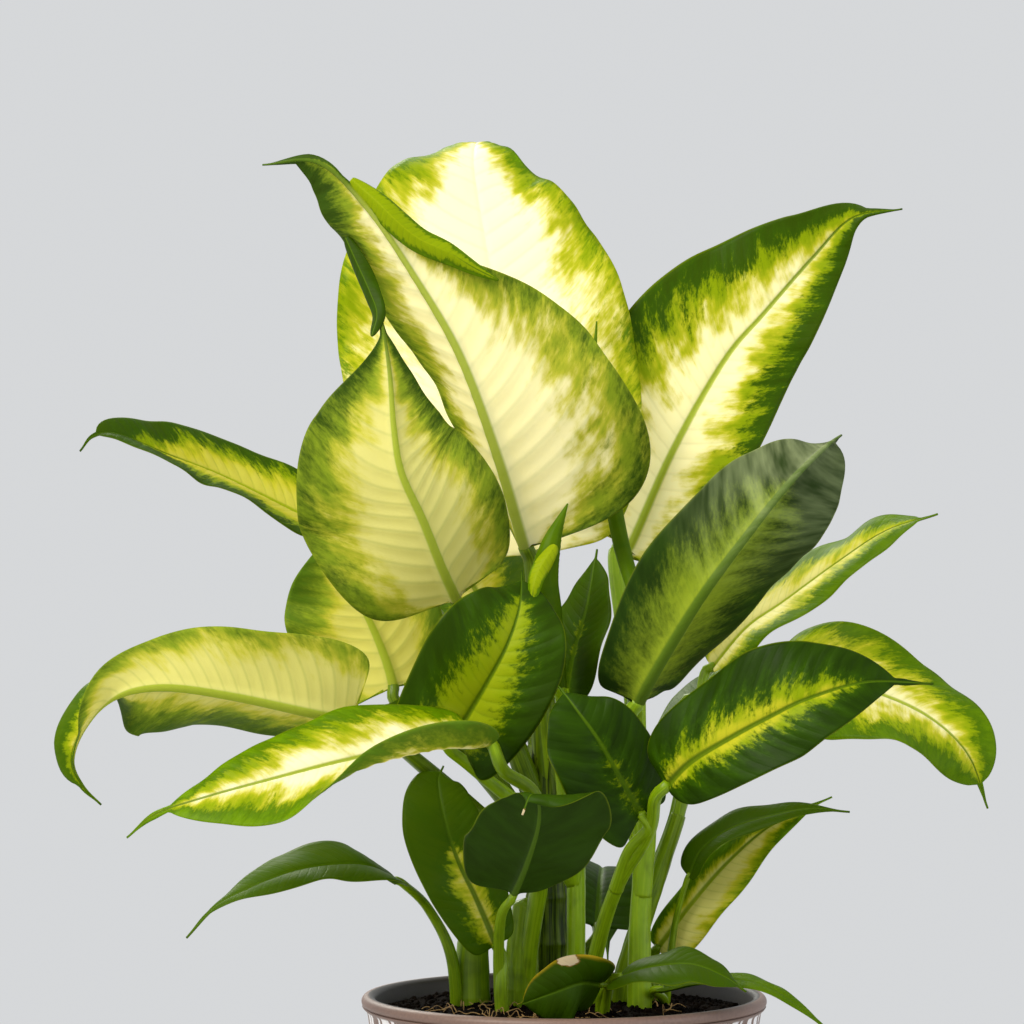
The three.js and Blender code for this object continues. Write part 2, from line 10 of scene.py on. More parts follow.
import bpy
import numpy as np
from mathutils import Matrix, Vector


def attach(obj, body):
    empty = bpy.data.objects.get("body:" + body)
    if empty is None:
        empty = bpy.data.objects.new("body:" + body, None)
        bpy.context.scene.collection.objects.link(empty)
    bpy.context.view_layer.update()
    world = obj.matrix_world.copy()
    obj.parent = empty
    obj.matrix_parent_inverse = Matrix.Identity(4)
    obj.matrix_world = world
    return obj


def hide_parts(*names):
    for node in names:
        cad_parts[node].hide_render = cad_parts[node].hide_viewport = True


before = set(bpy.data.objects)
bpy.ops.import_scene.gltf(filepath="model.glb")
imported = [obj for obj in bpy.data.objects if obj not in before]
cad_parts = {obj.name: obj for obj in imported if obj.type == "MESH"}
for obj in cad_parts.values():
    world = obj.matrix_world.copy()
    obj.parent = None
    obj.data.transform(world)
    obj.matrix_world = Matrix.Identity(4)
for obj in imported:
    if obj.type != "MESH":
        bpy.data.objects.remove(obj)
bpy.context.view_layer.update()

bl_info = {
    "name": "Potted dieffenbachia",
    "version": (1, 0, 0),
    "blender": (4, 5, 0),
    "location": "View3D > Sidebar > Plant",
    "description": "Builds a potted dieffenbachia with variegated leaves",
    "category": "Add Mesh",
}

MM = 0.001

# The pot and the soil, in millimetres, as the frame has them
POT_HEIGHT = 145
RIM_RADIUS = 81
FOOT_RADIUS = 55
WALL = 4.5
FLOOR_THICKNESS = 8
LIP_HEIGHT = 6
LIP_OVERHANG = 1.2
SOIL_TOP = 139.5
SOIL_DOME = 2.5
CANE_FOOT = 127

# The lip's outer rounding, its inner one across and down, and the gap between soil and pot
LIP_ROUND = 2.4
INNER_ROUND = (2.6, 2.8)
SOIL_GAP = 0.3

# How fast the base lobes fade along a blade, the half width that its drawn-out tip keeps, how steeply its
# tail narrows, and the share of the length at which the tail begins
LOBE_LENGTH = 0.07
SMALLEST_HALF = 1.2
TAIL_SLOPE = 0.12
TAIL_START = 0.8

# Relief of a blade: how far side veins lean towards the tip, the length of the waves of its edge, the length
# and width of its swellings, and the share of its thickness that is left at the edge
VEIN_LEAN = 0.45
EDGE_WAVE = 34
SWELL_LENGTH = 17
SWELL_WIDTH = 15
THIN_EDGE = 0.35

# Half width in millimetres above which a leaf gets the finest grid
LARGE_HALF = 19

# Each leaf: the points of its midrib from the stalk to the tip, the way its upper side faces from the base to
# the tip, and the largest half widths left and right of the midrib. base and tip shape the outline, with one
# number for both sides or one for each, end is the share of the length where it closes, lobe the
# heart-shaped base, sweep how far the edge is drawn forward, fold the angle of the valley along the midrib,
# curl the bend of each half, wave the height, number and start of the waves of the edge, rolls the places
# where an edge is rolled: side, place, length and angle. The leaf stalk belongs to the piece cane, runs along
# path, and stalk gives its radii at its foot and at the blade. The colour is given by pale, how far the cream
# reaches from the midrib to the edge, on both sides or left and right, run, shrink and foot, how it ends near
# the tip and the stalk, warm, how white the cream is, deep, how dark the green is, yellow, how yellow the
# left and the right edge are, bloom, how strong a pale painted sheen is, and spots, the torn dry
# places: share of the length, share of the half width and radius.
LEAF_DEFAULTS = dict(
    base=0.4, tip=0.95, end=0.93, lobe=0.18, sweep=0.35, fold=[18, 8], curl=[-25, -25], wave=[0.07, 3, 0],
    rolls=[], pale=0, run=1.2, shrink=2.6, foot=0, warm=0.3, deep=0.5, yellow=[0, 0], spots=[], bloom=0,
)

LEAVES = {
    "back_tall": dict(
        rib=[[-10, 48, 320], [-16, 60, 364], [-24, 74, 410], [-32, 88, 453], [-37, 108, 485],
            [-36, 136, 498], [-33, 162, 491]],
        faces=[[0, -1, 0.2], [0, -1, 0.25], [0, -0.9, 0.5], [0, 0, 1], [0, 0.8, 0.5]], half=[69, 53],
        base=0.58, tip=1.15, fold=[14, 6], curl=[-20, -20], wave=[0.09, 4.5, 0.1], pale=0.95, shrink=5,
        warm=1.0, deep=0.05, cane="cane_main", path=[[-6, 16, 222], [-8, 28, 278]], stalk=[5, 3],
    ),
    "front_tall": dict(
        rib=[[-15, 8, 323], [-26, -4, 360], [-41, -14, 400], [-59, -20, 431], [-77, -24, 457],
            [-97, -18, 476], [-120, -8, 476]],
        faces=[[0.45, 0.85, 0.2]], half=[60, 26], base=[0.72, 0.9], tip=[3, 0.6], lobe=0.08, fold=[22, 26],
        curl=[-12, -15], pale=0.86, run=0.85, shrink=4, foot=0.3, warm=0.85, deep=0.8, cane="cane_main",
        path=[[-6, 12, 222], [-10, 6, 275]], stalk=[6, 3.2],
    ),
    "left_heart": dict(
        rib=[[-43, -22, 303], [-49, -32, 317], [-56, -40, 335], [-64, -44, 353], [-67, -42, 370],
            [-69, -34, 393], [-73, -18, 418]],
        faces=[[-0.3, 0.9, 0.2]], half=[35, 44], base=[0.3, 0.62], tip=[1.15, 1.45], lobe=0.12, fold=[22, 22],
        curl=[-20, -20], pale=0.85, warm=0.58, deep=0.85, cane="cane_main",
        path=[[-8, 12, 212], [-24, -4, 255]], stalk=[5, 2.5],
    ),
    "left_high": dict(
        rib=[[-73, 44, 317], [-91, 42, 329], [-110, 38, 338], [-138, 28, 352], [-160, 14, 361],
            [-179, 2, 369], [-188, -4, 368], [-193, -6, 362]],
        faces=[[0.3, -0.5, 0.8]], half=[25, 20], tip=0.6, fold=[22, 22], curl=[-10, -10], pale=0.66, run=0.75,
        shrink=4, warm=0.45, deep=0.8, cane="cane_main", path=[[-9, 18, 222], [-38, 27, 278]], stalk=[4, 2.5],
    ),
    "left_middle": dict(
        rib=[[-82, -52, 257], [-99, -62, 261], [-130, -72, 268], [-155, -78, 271], [-173, -78, 267],
            [-185, -68, 255], [-190, -62, 242], [-186, -60, 232], [-179, -60, 225]],
        faces=[[0, 0.8, 0.6], [0, 0.83, 0.55], [0, 0.87, 0.45], [0, 1, 0.2], [-0.8, 0.2, 0.3],
            [-0.7, -0.7, 0.2], [-0.6, -0.8, 0.2]],
        half=[28, 27], base=0.35, tip=[1.5, 0.8], fold=[38, 30], curl=[-15, -15], pale=[0.92, 0.55], shrink=4,
        warm=0.55, deep=0.6, cane="cane_main", path=[[-12, 12, 195], [-56, -14, 237]], stalk=[4, 2.5],
    ),
    "left_inner": dict(
        rib=[[-68, 6, 267], [-72, 8, 280], [-79, 10, 296], [-89, 11, 314], [-98, 11, 330]],
        faces=[[0, 0.95, 0.2]], half=[28, 32], tip=0.7, pale=0.74, warm=0.5, deep=0.35, cane="cane_main",
        path=[[-10, 14, 205], [-40, 11, 240]], stalk=[4, 2.5],
    ),
    "left_low": dict(
        rib=[[-35, -62, 249], [-54, -74, 249], [-83, -86, 244], [-112, -94, 237], [-138, -98, 230],
            [-155, -96, 224], [-166, -92, 215]],
        faces=[[0, -0.7, 0.7]], half=[29, 23], base=0.42, tip=[0.8, 0.9], end=0.86,
        rolls=[["left", 0.2, 0.26, 125]], pale=0.64, shrink=3.5, warm=0.9, deep=0.15, cane="cane_low_left",
        path=[[-18, -6, CANE_FOOT], [-14, -10, 165], [-9, -24, 200], [-12, -42, 227], [-24, -58, 238]],
        stalk=[4.5, 2.4],
    ),
    "left_drooping": dict(
        rib=[[-66, -30, 193], [-77, -42, 200], [-91, -50, 201], [-106, -58, 199], [-122, -62, 193],
            [-135, -64, 186], [-146, -62, 174]],
        faces=[[0, -0.45, 0.9]], half=[13, 15], base=0.5, tip=1.3, end=0.9, warm=0.5, deep=0.65,
        cane="cane_left", path=[[-42, 0, CANE_FOOT], [-45, -4, 160], [-54, -10, 180]], stalk=[2.8, 1.6],
    ),
    "centre_broad": dict(
        rib=[[-43, -44, 251], [-38, -50, 259], [-31, -56, 271], [-23, -58, 286], [-18, -53, 301],
            [-17, -42, 315]],
        faces=[[0.1, -0.95, 0.25]], half=[28, 25], base=0.42, tip=0.8, lobe=0.45, fold=[20, 20], pale=0.38,
        run=0.85, warm=0.08, deep=0.9, cane="cane_centre",
        path=[[4, -6, 190], [-12, -12, 215], [-36, -28, 237]], stalk=[3.5, 2.2],
    ),
    "right_tall": dict(
        rib=[[26, 58, 321], [30, 64, 327], [47, 80, 364], [69, 91, 402], [86, 95, 422], [107, 95, 446],
            [123, 89, 462], [143, 79, 465]],
        faces=[[0.1, -0.95, 0.25]], half=[46, 31], tip=0.9, fold=[14, 14], curl=[-15, -15], pale=0.65,
        shrink=3.5, warm=0.85, deep=0.8, cane="cane_right", path=[[30, -8, 205], [28, 10, 262]],
        stalk=[4.3, 3.2],
    ),
    "right_broad": dict(
        rib=[[28, -40, 263], [34, -46, 275], [52, -56, 305], [72, -60, 332], [88, -56, 351],
            [100, -44, 362], [109, -24, 368]],
        faces=[[-0.45, 0.83, 0.34], [-0.2, 0.9, 0.1], [0.3, 0.95, -0.2]], half=[32, 26], base=0.36, tip=0.6,
        fold=[34, 30], curl=[-10, -10], pale=0.27, run=0.68, warm=0.04, deep=0.95, bloom=0.6,
        cane="cane_right", path=[[31, -6, 185], [33, -12, 215], [31, -22, 240]], stalk=[4, 3],
    ),
    "right_slim": dict(
        rib=[[62, 55, 273], [76, 50, 290], [91, 44, 301], [112, 34, 317], [131, 24, 330], [151, 14, 337]],
        faces=[[-0.3, -0.5, 0.8]], half=[18.5, 19], tip=0.65, pale=0.6, warm=0.6, deep=0.4,
        cane="cane_far_right", path=[[30, 9, 170], [52, 37, 230]], stalk=[3.3, 2],
    ),
    "right_front": dict(
        rib=[[38, -75, 233], [47, -84, 243], [62, -94, 253], [76, -100, 261], [90, -104, 268],
            [112, -101, 274], [138, -92, 273]],
        faces=[[0, -0.9, 0.45]], half=[26, 20], base=0.6, tip=0.9, end=0.87, fold=[16, 16], pale=0.24,
        run=0.78, warm=0.28, deep=0.95, cane="stalks_front",
        path=[[8, -12, CANE_FOOT], [12, -16, 160], [20, -32, 190], [32, -56, 214]], stalk=[3.2, 2.4],
    ),
    "right_far": dict(
        rib=[[56, 24, 260], [79, 8, 266], [102, -8, 271], [124, -24, 266], [143, -34, 257], [157, -40, 243],
            [165, -38, 222]],
        faces=[[0.2, -0.75, 0.62]], half=[25, 30], base=0.35, tip=0.55, fold=[18, 18], wave=[0.22, 2.1, 0.45],
        pale=0.7, shrink=4, warm=0.8, deep=0.35, cane="cane_far_right",
        path=[[27, 9, 158], [37, 7, 190], [47, 10, 222]], stalk=[3.5, 2.8],
    ),
    "front_dark": dict(
        rib=[[29, -62, 221], [20, -72, 237], [12, -76, 251], [4, -74, 262], [-3, -66, 271]],
        faces=[[0.1, -0.9, 0.4]], half=[22, 18], base=0.5, tip=0.8, lobe=0.3, pale=0.1, run=0.7, warm=0.0,
        deep=0.95, cane="stalks_front", path=[[20, -32, 190], [25, -46, 206]], stalk=[3, 2.2],
    ),
    "front_cupped": dict(
        rib=[[-20, -70, 192], [-15, -90, 206], [-11, -106, 221], [-11, -114, 231], [-14, -122, 233],
            [-17, -124, 226]],
        faces=[[0, 0.7, 0.7], [0, 0.7, 0.7], [0, 0.3, 1], [0, -0.7, 0.7]], half=[26, 25], base=[0.75, 0.6],
        tip=[0.55, 0.95], lobe=0.2, warm=0.4, deep=0.9, spots=[[1, 0, 2.2]], cane="stalks_front_left",
        path=[[-24, -20, CANE_FOOT], [-26, -24, 160], [-25, -42, 180]], stalk=[2.8, 1.6],
    ),
    "lower_left": dict(
        rib=[[-27, -24, 167], [-35, -29, 186], [-42, -32, 201], [-47, -30, 216], [-50, -22, 231],
            [-48, -14, 237]],
        faces=[[0.2, -0.9, 0.3]], half=[17, 14], tip=0.4, pale=0.35, run=0.5, warm=0.6, deep=0.65,
        cane="stalks_front_left", path=[[-24, -20, CANE_FOOT], [-25, -24, 150]], stalk=[2.8, 2.2],
    ),
    "rim_torn": dict(
        rib=[[14, -44, 154], [6, -56, 156], [-5, -62, 153], [-19, -62, 148]], faces=[[0, -0.9, -0.2]],
        half=[14, 11.5], tip=0.7, deep=0.85, yellow=[0.1, 0.72], spots=[[0.42, 0.9, 2.6]], cane="stalks_rim",
        path=[[14, -24, CANE_FOOT], [14, -30, 146]], stalk=[2.4, 1.6],
    ),
    "rim_right": dict(
        rib=[[21, -46, 157], [33, -56, 162], [48, -64, 164], [60, -68, 160], [69, -68, 154]],
        faces=[[0.1, -0.5, 0.85]], half=[10, 14], tip=0.8, deep=0.75, cane="stalks_rim",
        path=[[14, -24, CANE_FOOT], [16, -32, 146]], stalk=[2.4, 1.6],
    ),
    "rim_hanging": dict(
        rib=[[38, -18, 149], [53, -34, 154], [68, -48, 156], [79, -58, 154], [89, -62, 148], [103, -64, 137]],
        faces=[[0.1, -0.4, 0.9]], half=[6, 6], tip=1, deep=0.5, cane="stalks_low_right",
        path=[[40, 12, CANE_FOOT], [40, 0, 142]], stalk=[2.4, 1.5],
    ),
    "right_small_dark": dict(
        rib=[[50, 0, 192], [55, -4, 203], [67, -8, 212], [86, -12, 218], [99, -14, 220], [113, -16, 219]],
        faces=[[-0.3, -0.6, 0.75]], half=[8, 6], tip=1, deep=0.75, cane="stalks_low_right",
        path=[[40, 12, CANE_FOOT], [44, 7, 168]], stalk=[2, 1.1],
    ),
    "right_small_pale": dict(
        rib=[[38, 17, 161], [51, 12, 179], [65, 7, 196], [80, 2, 210], [94, -1, 218], [107, -3, 224]],
        faces=[[-0.3, -0.8, 0.5]], half=[8, 14], tip=1, pale=[0.5, 1], warm=0.6, deep=0.15,
        cane="stalks_low_right", path=[[40, 12, CANE_FOOT], [37, 15, 145]], stalk=[3, 2],
    ),
    "inner_upright": dict(
        rib=[[1, -20, 266], [4, -22, 283], [9, -20, 301], [13, -12, 323]], faces=[[-0.7, -0.7, 0.2]],
        half=[14, 14], tip=0.8, pale=0.1, deep=0.8, cane="cane_centre", path=[[4, -6, 200], [2, -14, 235]],
        stalk=[3, 2],
    ),
    "inner_hidden": dict(
        rib=[[-38, -10, 250], [-54, -10, 255], [-67, -9, 259], [-79, -7, 260]], faces=[[0, -0.3, 0.9]],
        half=[12, 12], tip=0.6, pale=0.1, deep=0.85, cane="cane_main", path=[[-10, 10, 205], [-25, -2, 230]],
        stalk=[3, 1.8],
    ),
    "rear_left": dict(
        rib=[[-25, 44, 285], [-45, 85, 318], [-68, 125, 328], [-88, 158, 312], [-98, 178, 285]],
        faces=[[-0.2, 0.2, 1]], half=[26, 26], base=0.42, pale=0.45, warm=0.6, deep=0.5, cane="cane_main",
        path=[[-8, 18, 222], [-14, 32, 258]], stalk=[3.5, 2.5],
    ),
    "rear_right": dict(
        rib=[[52, 48, 232], [72, 82, 262], [94, 112, 268], [112, 138, 258], [122, 158, 240]],
        faces=[[0.2, 0.3, 1]], half=[24, 24], base=0.42, pale=0.45, warm=0.6, deep=0.6, cane="cane_far_right",
        path=[[29, 9, 165], [42, 28, 200]], stalk=[3, 2.2],
    ),
    "rear_low": dict(
        rib=[[14, 34, 168], [16, 64, 186], [18, 98, 186], [20, 128, 168], [21, 146, 142]],
        faces=[[0.2, 0.3, 1]], half=[22, 22], base=0.42, warm=0.5, deep=0.9, cane="cane_main",
        path=[[0, 18, 146], [7, 25, 157]], stalk=[3, 2.2],
    ),
}

# Young leaves, still rolled up: radii at base, belly and tip, and the share of the length of the belly
FURLED = {
    "centre_young": dict(
        rib=[[-2, -32, 268], [-4, -34, 280], [-7, -36, 296], [-9, -37, 311], [-6, -38, 325], [1, -36, 341]],
        radii=[2.8, 6, 0.4], belly=0.5, cane="cane_centre",
        path=[[4, -6, 190], [0, -20, 225], [-2, -27, 252]], stalk=[3.5, 2.6],
    ),
    "spear": dict(
        rib=[[28, 10, 306], [22, 26, 330], [17, 33, 363], [13, 38, 392], [14, 42, 416]],
        radii=[3.5, 3.8, 0.4], belly=0.2, cane="cane_right", path=[[30, -8, 205], [29, -2, 260]],
        stalk=[4, 3.5],
    ),
}

# The canes: the path and the radii at foot and top
CANES = {
    "cane_left": dict(path=[[-37, 4, CANE_FOOT], [-37, 4, 155], [-36, 4, 170]], radii=[8.5, 6]),
    "cane_low_left": dict(path=[[-18, -4, CANE_FOOT], [-17, -6, 160], [-15, -9, 182]], radii=[8.5, 5.4]),
    "cane_main": dict(path=[[-6, 14, CANE_FOOT], [-6, 13, 180], [-7, 12, 244]], radii=[10, 7]),
    "cane_centre": dict(path=[[4.5, -4, CANE_FOOT], [4.5, -6, 195], [2, -10, 212]], radii=[3.9, 3.6]),
    "cane_right": dict(
        path=[[30, -6, CANE_FOOT], [30, -6, 170], [31, -6, 190], [31, -10, 215]], radii=[5.2, 3.6]),
    "cane_far_right": dict(
        path=[[22, 10, CANE_FOOT], [26, 9, 155], [37, 6, 190], [46, 8, 216]], radii=[5, 3]),
}

# Shapes worked out as whole arrays


def unit(vectors):
    """Vectors divided by their own lengths."""
    return vectors / np.linalg.norm(vectors, axis=-1, keepdims=True)


def around(steps):
    """Angles at even steps once round."""
    return np.linspace(0, 2 * np.pi, steps, endpoint=False)


def bump(distance, width):
    """A bell curve of the distance from its middle."""
    return np.exp(-((distance / width) ** 2))


def stacked(shape, *parts):
    """Numbers or arrays side by side, as one row for each point of a grid of the given shape."""
    return np.stack([np.broadcast_to(part, shape) for part in parts], -1).reshape(-1, len(parts))


def smooth_path(points, shares):
    """Points at the given shares of the length of a Catmull-Rom curve through the listed points."""
    p = np.array(points, float)
    p = np.vstack([2 * p[0] - p[1], p, 2 * p[-1] - p[-2]])
    spans = len(p) - 3
    t = np.linspace(0, spans, 80 * spans + 1)
    k = np.minimum(t.astype(int), spans - 1)
    w = (t - k)[:, None]
    p0, p1, p2, p3 = p[k], p[k + 1], p[k + 2], p[k + 3]
    start, end = (p2 - p0) / 2, (p3 - p1) / 2
    curve = (2 * w**3 - 3 * w**2 + 1) * p1 + (w**3 - 2 * w**2 + w) * start
    curve += (3 * w**2 - 2 * w**3) * p2 + (w**3 - w**2) * end
    length = np.concatenate([[0], np.cumsum(np.linalg.norm(np.diff(curve, axis=0), axis=1))])
    wanted = np.asarray(shares) * length[-1]
    return np.stack([np.interp(wanted, length, axis) for axis in curve.T], -1), length[-1]


def spread(values, u):
    """Numbers or vectors listed at even steps from base to tip, read at the shares u."""
    values = np.array(values, float).T
    steps = np.linspace(0, 1, values.shape[-1])
    if values.ndim == 1:
        return np.interp(u, steps, values)
    return np.stack([np.interp(u, steps, axis) for axis in values], -1)


def ripple(u, count, rng):
    """A smooth line between -1 and 1: the sum of four sine waves with about count waves along u."""
    shares = (0.55, 0.9, 1.3, 1.9)
    return sum(np.sin(2 * np.pi * (s * count * u + rng.random())) / (1 + s) for s in shares) / 2.1


def lattice_noise(x, y, rng, cells=64):
    """Random heights between -1 and 1 on a lattice of one-unit squares, blended smoothly between them."""
    table = rng.uniform(-1, 1, (cells, cells))
    xi, yi = np.floor(x).astype(int), np.floor(y).astype(int)
    fx, fy = x - xi, y - yi
    fx, fy = fx * fx * (3 - 2 * fx), fy * fy * (3 - 2 * fy)
    a, b, c, d = (table[(xi + i) % cells, (yi + j) % cells] for j in (0, 1) for i in (0, 1))
    return (a * (1 - fx) + b * fx) * (1 - fy) + (c * (1 - fx) + d * fx) * fy


def blade_middle(leaf, u, v):
    """The middle surface of a blade at shares u from base to tip and v from left edge to right.

    Half width: u to the power base times (1 - u) to the power tip. Across the blade each half is an arc that
    leaves the midrib at the fold angle and bends by the curl angle. The edge adds sine waves, is swept
    towards the tip, and falls back beside the stalk as two lobes. The last fifth is never slimmer than a tail
    that narrows evenly to the tip.
    """
    rib, length = smooth_path(leaf["rib"], u)
    tangent = unit(np.gradient(rib, axis=0))
    face = spread(leaf["faces"], u)
    up = unit(face - (face * tangent).sum(-1, keepdims=True) * tangent)
    side = np.cross(tangent, up)
    fold = np.radians(spread(leaf["fold"], u))[:, None]
    u = u[:, None]
    w = np.clip(u / leaf["end"], 0, 1)
    right = (v > 0).astype(int)
    out = np.abs(v)
    base, tip = (np.broadcast_to(leaf[key], 2)[right] for key in ("base", "tip"))
    top = base / (base + tip)
    outline = w**base * (1 - w) ** tip / (top**base * (1 - top) ** tip)
    half = np.array(leaf["half"], float)[right] * outline + SMALLEST_HALF * np.sqrt(1 - 0.9 * u)
    half = np.maximum(half, TAIL_SLOPE * length * (1 - u) * np.clip((u - TAIL_START) / 0.1, 0, 1))
    curl = np.radians(np.array(leaf["curl"], float))[right] + np.zeros_like(half)
    for edge, at, span, angle in leaf["rolls"]:
        curl = curl + np.radians(angle) * (right == (edge == "right")) * bump(u - at, span)
    across = half * (np.sin(fold + curl * out) - np.sin(fold)) / curl
    height, count, start = leaf["wave"]
    wave = height * half * out**2 * np.sin(2 * np.pi * (count * u + start + 0.37 * right))
    rise = half * (np.cos(fold) - np.cos(fold + curl * out)) / curl + wave
    lobe = leaf["lobe"] * 2 * out * (u / LOBE_LENGTH * np.exp(1 - u / LOBE_LENGTH))
    forward = half * (leaf["sweep"] * out**2 * (4 * u * (1 - u)) - lobe)
    points = rib[:, None] + side[:, None] * (across * np.sign(v))[..., None]
    points = points + up[:, None] * rise[..., None] + tangent[:, None] * forward[..., None]
    return points, half, length


def shell_faces(shape):
    """Faces of a closed shell of two grids of points: upper side, lower side and the strip round the edge."""
    count = shape[0] * shape[1]
    index = np.arange(count).reshape(shape)
    a, b, c, d = index[:-1, :-1], index[:-1, 1:], index[1:, 1:], index[1:, :-1]
    top = stacked(a.shape, a, b, c, d)
    border = np.concatenate([index[0, :-1], index[:-1, -1], index[-1, :0:-1], index[:0:-1, 0]])
    after = np.roll(border, -1)
    return [top, top[:, ::-1] + count, stacked(border.shape, border + count, after + count, after, border)]


def blade_colouring(leaf, u, v, half, length):
    """How pale and how yellow each place of a blade is, how near it lies to a dry spot, and its painted
    sheen.

    The pale part narrows with u to the power shrink and ends at run. A dry spot's value falls evenly from 1.5
    at its middle to 0.5 at its radius.
    """
    right = (v > 0).astype(int)
    dry = np.zeros_like(half)
    for at, across, radius in leaf["spots"]:
        dry = np.maximum(dry, 1.5 - np.hypot((u - at) * length, (v - across) * half) / radius)
    shrink = (1.08 - 0.95 * u ** leaf["shrink"]) * np.clip(0.5 + (leaf["run"] - u) / 0.25, 0, 1)
    shrink = shrink * (1 - leaf["foot"] * bump(u, 0.12))
    pale = np.broadcast_to(leaf["pale"], 2)[right] * shrink
    yellow = np.array(leaf["yellow"], float)[right] * np.abs(v) ** 3
    # A pale painted sheen over the half towards the tip, weaker on the left half, stands in for light
    # glancing off the blade
    bloom = leaf["bloom"] * np.clip((u - 0.35) / 0.4, 0, 1) * (1 - 0.4 * (v < 0))
    return pale, yellow, dry, bloom


def blade_surface(leaf, settings, seed):
    """Both faces of a blade as one closed shell, with the values that its colours follow.

    On top of the middle surface come small edge waves, a quilt of side veins that rise between sunken lines,
    a groove along the midrib above and a round ridge below. The shell thins towards the edge.
    """
    rng = np.random.default_rng(seed)
    widest = max(leaf["half"])
    rows, columns = settings.rows, settings.columns
    if widest <= LARGE_HALF:
        rows, columns = rows * 2 // 3, columns * 2 // 3
    # Rows lie a little closer near the base, and columns much closer near the midrib
    u = np.linspace(0, 1, rows + 1) ** 1.08
    s = np.linspace(-1, 1, 2 * (columns // 2) + 1)
    v = np.sign(s) * np.abs(s) ** 1.5
    middle, half, length = blade_middle(leaf, u, v)
    u = u[:, None]
    out = np.abs(v)
    away = out * half
    right = (v > 0).astype(int)
    # The tiny number keeps the normal of a point where the rows meet from being divided by nothing
    normals = unit(np.cross(np.gradient(middle, axis=1), np.gradient(middle, axis=0)) + 1e-12)

    # Side veins leave the midrib every few millimetres, further apart on a wide leaf. Those on the right
    # start later, and noise moves them by up to a third of their distance
    spacing = 2.2 + 0.11 * widest
    vein = u * length - VEIN_LEAN * away + np.where(right, 0.4 * spacing, 0)
    vein = vein + 0.3 * spacing * lattice_noise(vein / 19 + 60, np.where(right, 20, 31) + away / 40, rng)

    # The quilt rises between the veins and fades at the midrib, the edge and the base. The edge sways, and
    # more so on a wide leaf
    quilt = np.abs(np.sin(np.pi * vein / spacing)) ** 0.7 - 0.6
    fade = np.clip(away / 6, 0, 1) * np.clip((1 - out) * 5, 0, 1) * np.clip(u * 12, 0, 1)
    swell = lattice_noise(u * length / SWELL_LENGTH + 40, np.where(right, 9, 3) + away / SWELL_WIDTH, rng)
    edge = np.where(right, ripple(u, length / EDGE_WAVE, rng), ripple(u, length / EDGE_WAVE, rng))
    loose = np.sin(np.pi * u) ** 0.5
    relief = settings.relief / MM * min(spacing / 7, 1) * (0.35 + 0.65 * np.mean(leaf["pale"]))
    lift = quilt * fade * relief + 0.5 * swell * fade
    lift = lift + edge * out**3 * loose * (0.5 + 0.022 * widest)
    middle = middle + normals * lift[..., None]

    # The midrib's radius narrows from the stalk's to a quarter of a millimetre. It is a ridge below
    rib_radius = leaf["stalk"][1] * (1 - u) ** 0.75 + 0.25
    ridge = 0.8 * rib_radius * bump(away, rib_radius)
    groove = 0.27 * rib_radius * bump(away, 0.6 * rib_radius)
    thin = settings.thickness / MM * (THIN_EDGE + (1 - THIN_EDGE) * np.clip((1 - out) * 3, 0, 1)) / 2
    upper = middle + normals * (thin - groove)[..., None]
    lower = middle - normals * (thin + ridge)[..., None]

    pale, yellow, dry, bloom = blade_colouring(leaf, u, v, half, length)
    values = {
        "vein": (vein, away, seed % 97),
        "place": (u, out, rib_radius),
        "look": (pale, leaf["warm"], leaf["deep"]),
        "worn": (yellow, dry, vein / spacing),
    }
    fields = {name: np.tile(stacked(half.shape, *parts), (2, 1)) for name, parts in values.items()}
    fields["under"] = np.repeat([0.0, 1.0], half.size)
    fields["bloom"] = np.tile(bloom.reshape(-1), 2)
    points = np.concatenate([upper.reshape(-1, 3), lower.reshape(-1, 3)]) * MM
    return points, shell_faces(half.shape), fields


def closed_rings(grid, ends):
    """Rows of points round an axis, in millimetres, closed by a fan of faces to one point at each end.

    Gives the points in metres, and the faces between the rows, of the first fan and of the last.
    """
    rows, steps = grid.shape[:2]
    count = rows * steps
    index = np.arange(count).reshape(rows, steps)
    after = np.roll(index, -1, axis=1)
    quads = stacked(index[1:].shape, index[:-1], after[:-1], after[1:], index[1:])
    fans = [stacked(steps, after[0], index[0], count), stacked(steps, index[-1], after[-1], count + 1)]
    return np.concatenate([grid.reshape(-1, 3), ends]) * MM, [quads, *fans]


def tube_surface(points, radius, rows, sides, seed, look, bulge=None, place=(0, 0)):
    """A round body along a path: a ring of the given radius at each step, closed by a point beyond both ends.

    radius is a function of u. bulge, if given, is a function of u and the angle that scales the ring, for
    grooves, joints and rolled edges. Two directions square to the path come from a fixed reference direction.
    """
    u = np.linspace(0, 1, rows + 1)
    centre, length = smooth_path(points, u)
    tangent = unit(np.gradient(centre, axis=0))
    across = unit(np.cross(tangent, np.array([0.3, 1, 0.1])))
    above = np.cross(tangent, across)
    turn = around(sides)
    r = radius(u)[:, None] * (np.ones(sides) if bulge is None else bulge(u[:, None], turn))
    ring = across[:, None] * np.cos(turn)[:, None] + above[:, None] * np.sin(turn)[:, None]
    ends = [centre[0] - tangent[0] * 0.2 * r[0].mean(), centre[-1] + tangent[-1] * 0.5 * r[-1].mean()]
    points, faces = closed_rings(centre[:, None] + ring * r[..., None], ends)
    vein = stacked(r.shape, (u * length)[:, None], turn, seed % 97)
    vein = np.concatenate([vein, vein[:1], vein[-1:]])
    shares = np.concatenate([np.repeat(u, sides), [0, 1]])
    return points, faces, {
        "vein": vein,
        "place": stacked(shares.shape, shares, *place),
        "look": stacked(shares.shape, *look),
        "worn": stacked(shares.shape, 0, 0, 0.5),
        "under": np.zeros(len(vein)),
        "bloom": np.zeros(len(vein)),
    }


def turned_rows(profile, turn):
    """Rows of points round the upright axis, one for each radius and height of a profile."""
    radius, height = np.array(profile, float).T[..., None]
    return np.stack([radius * np.cos(turn), radius * np.sin(turn), height + 0 * turn], -1)


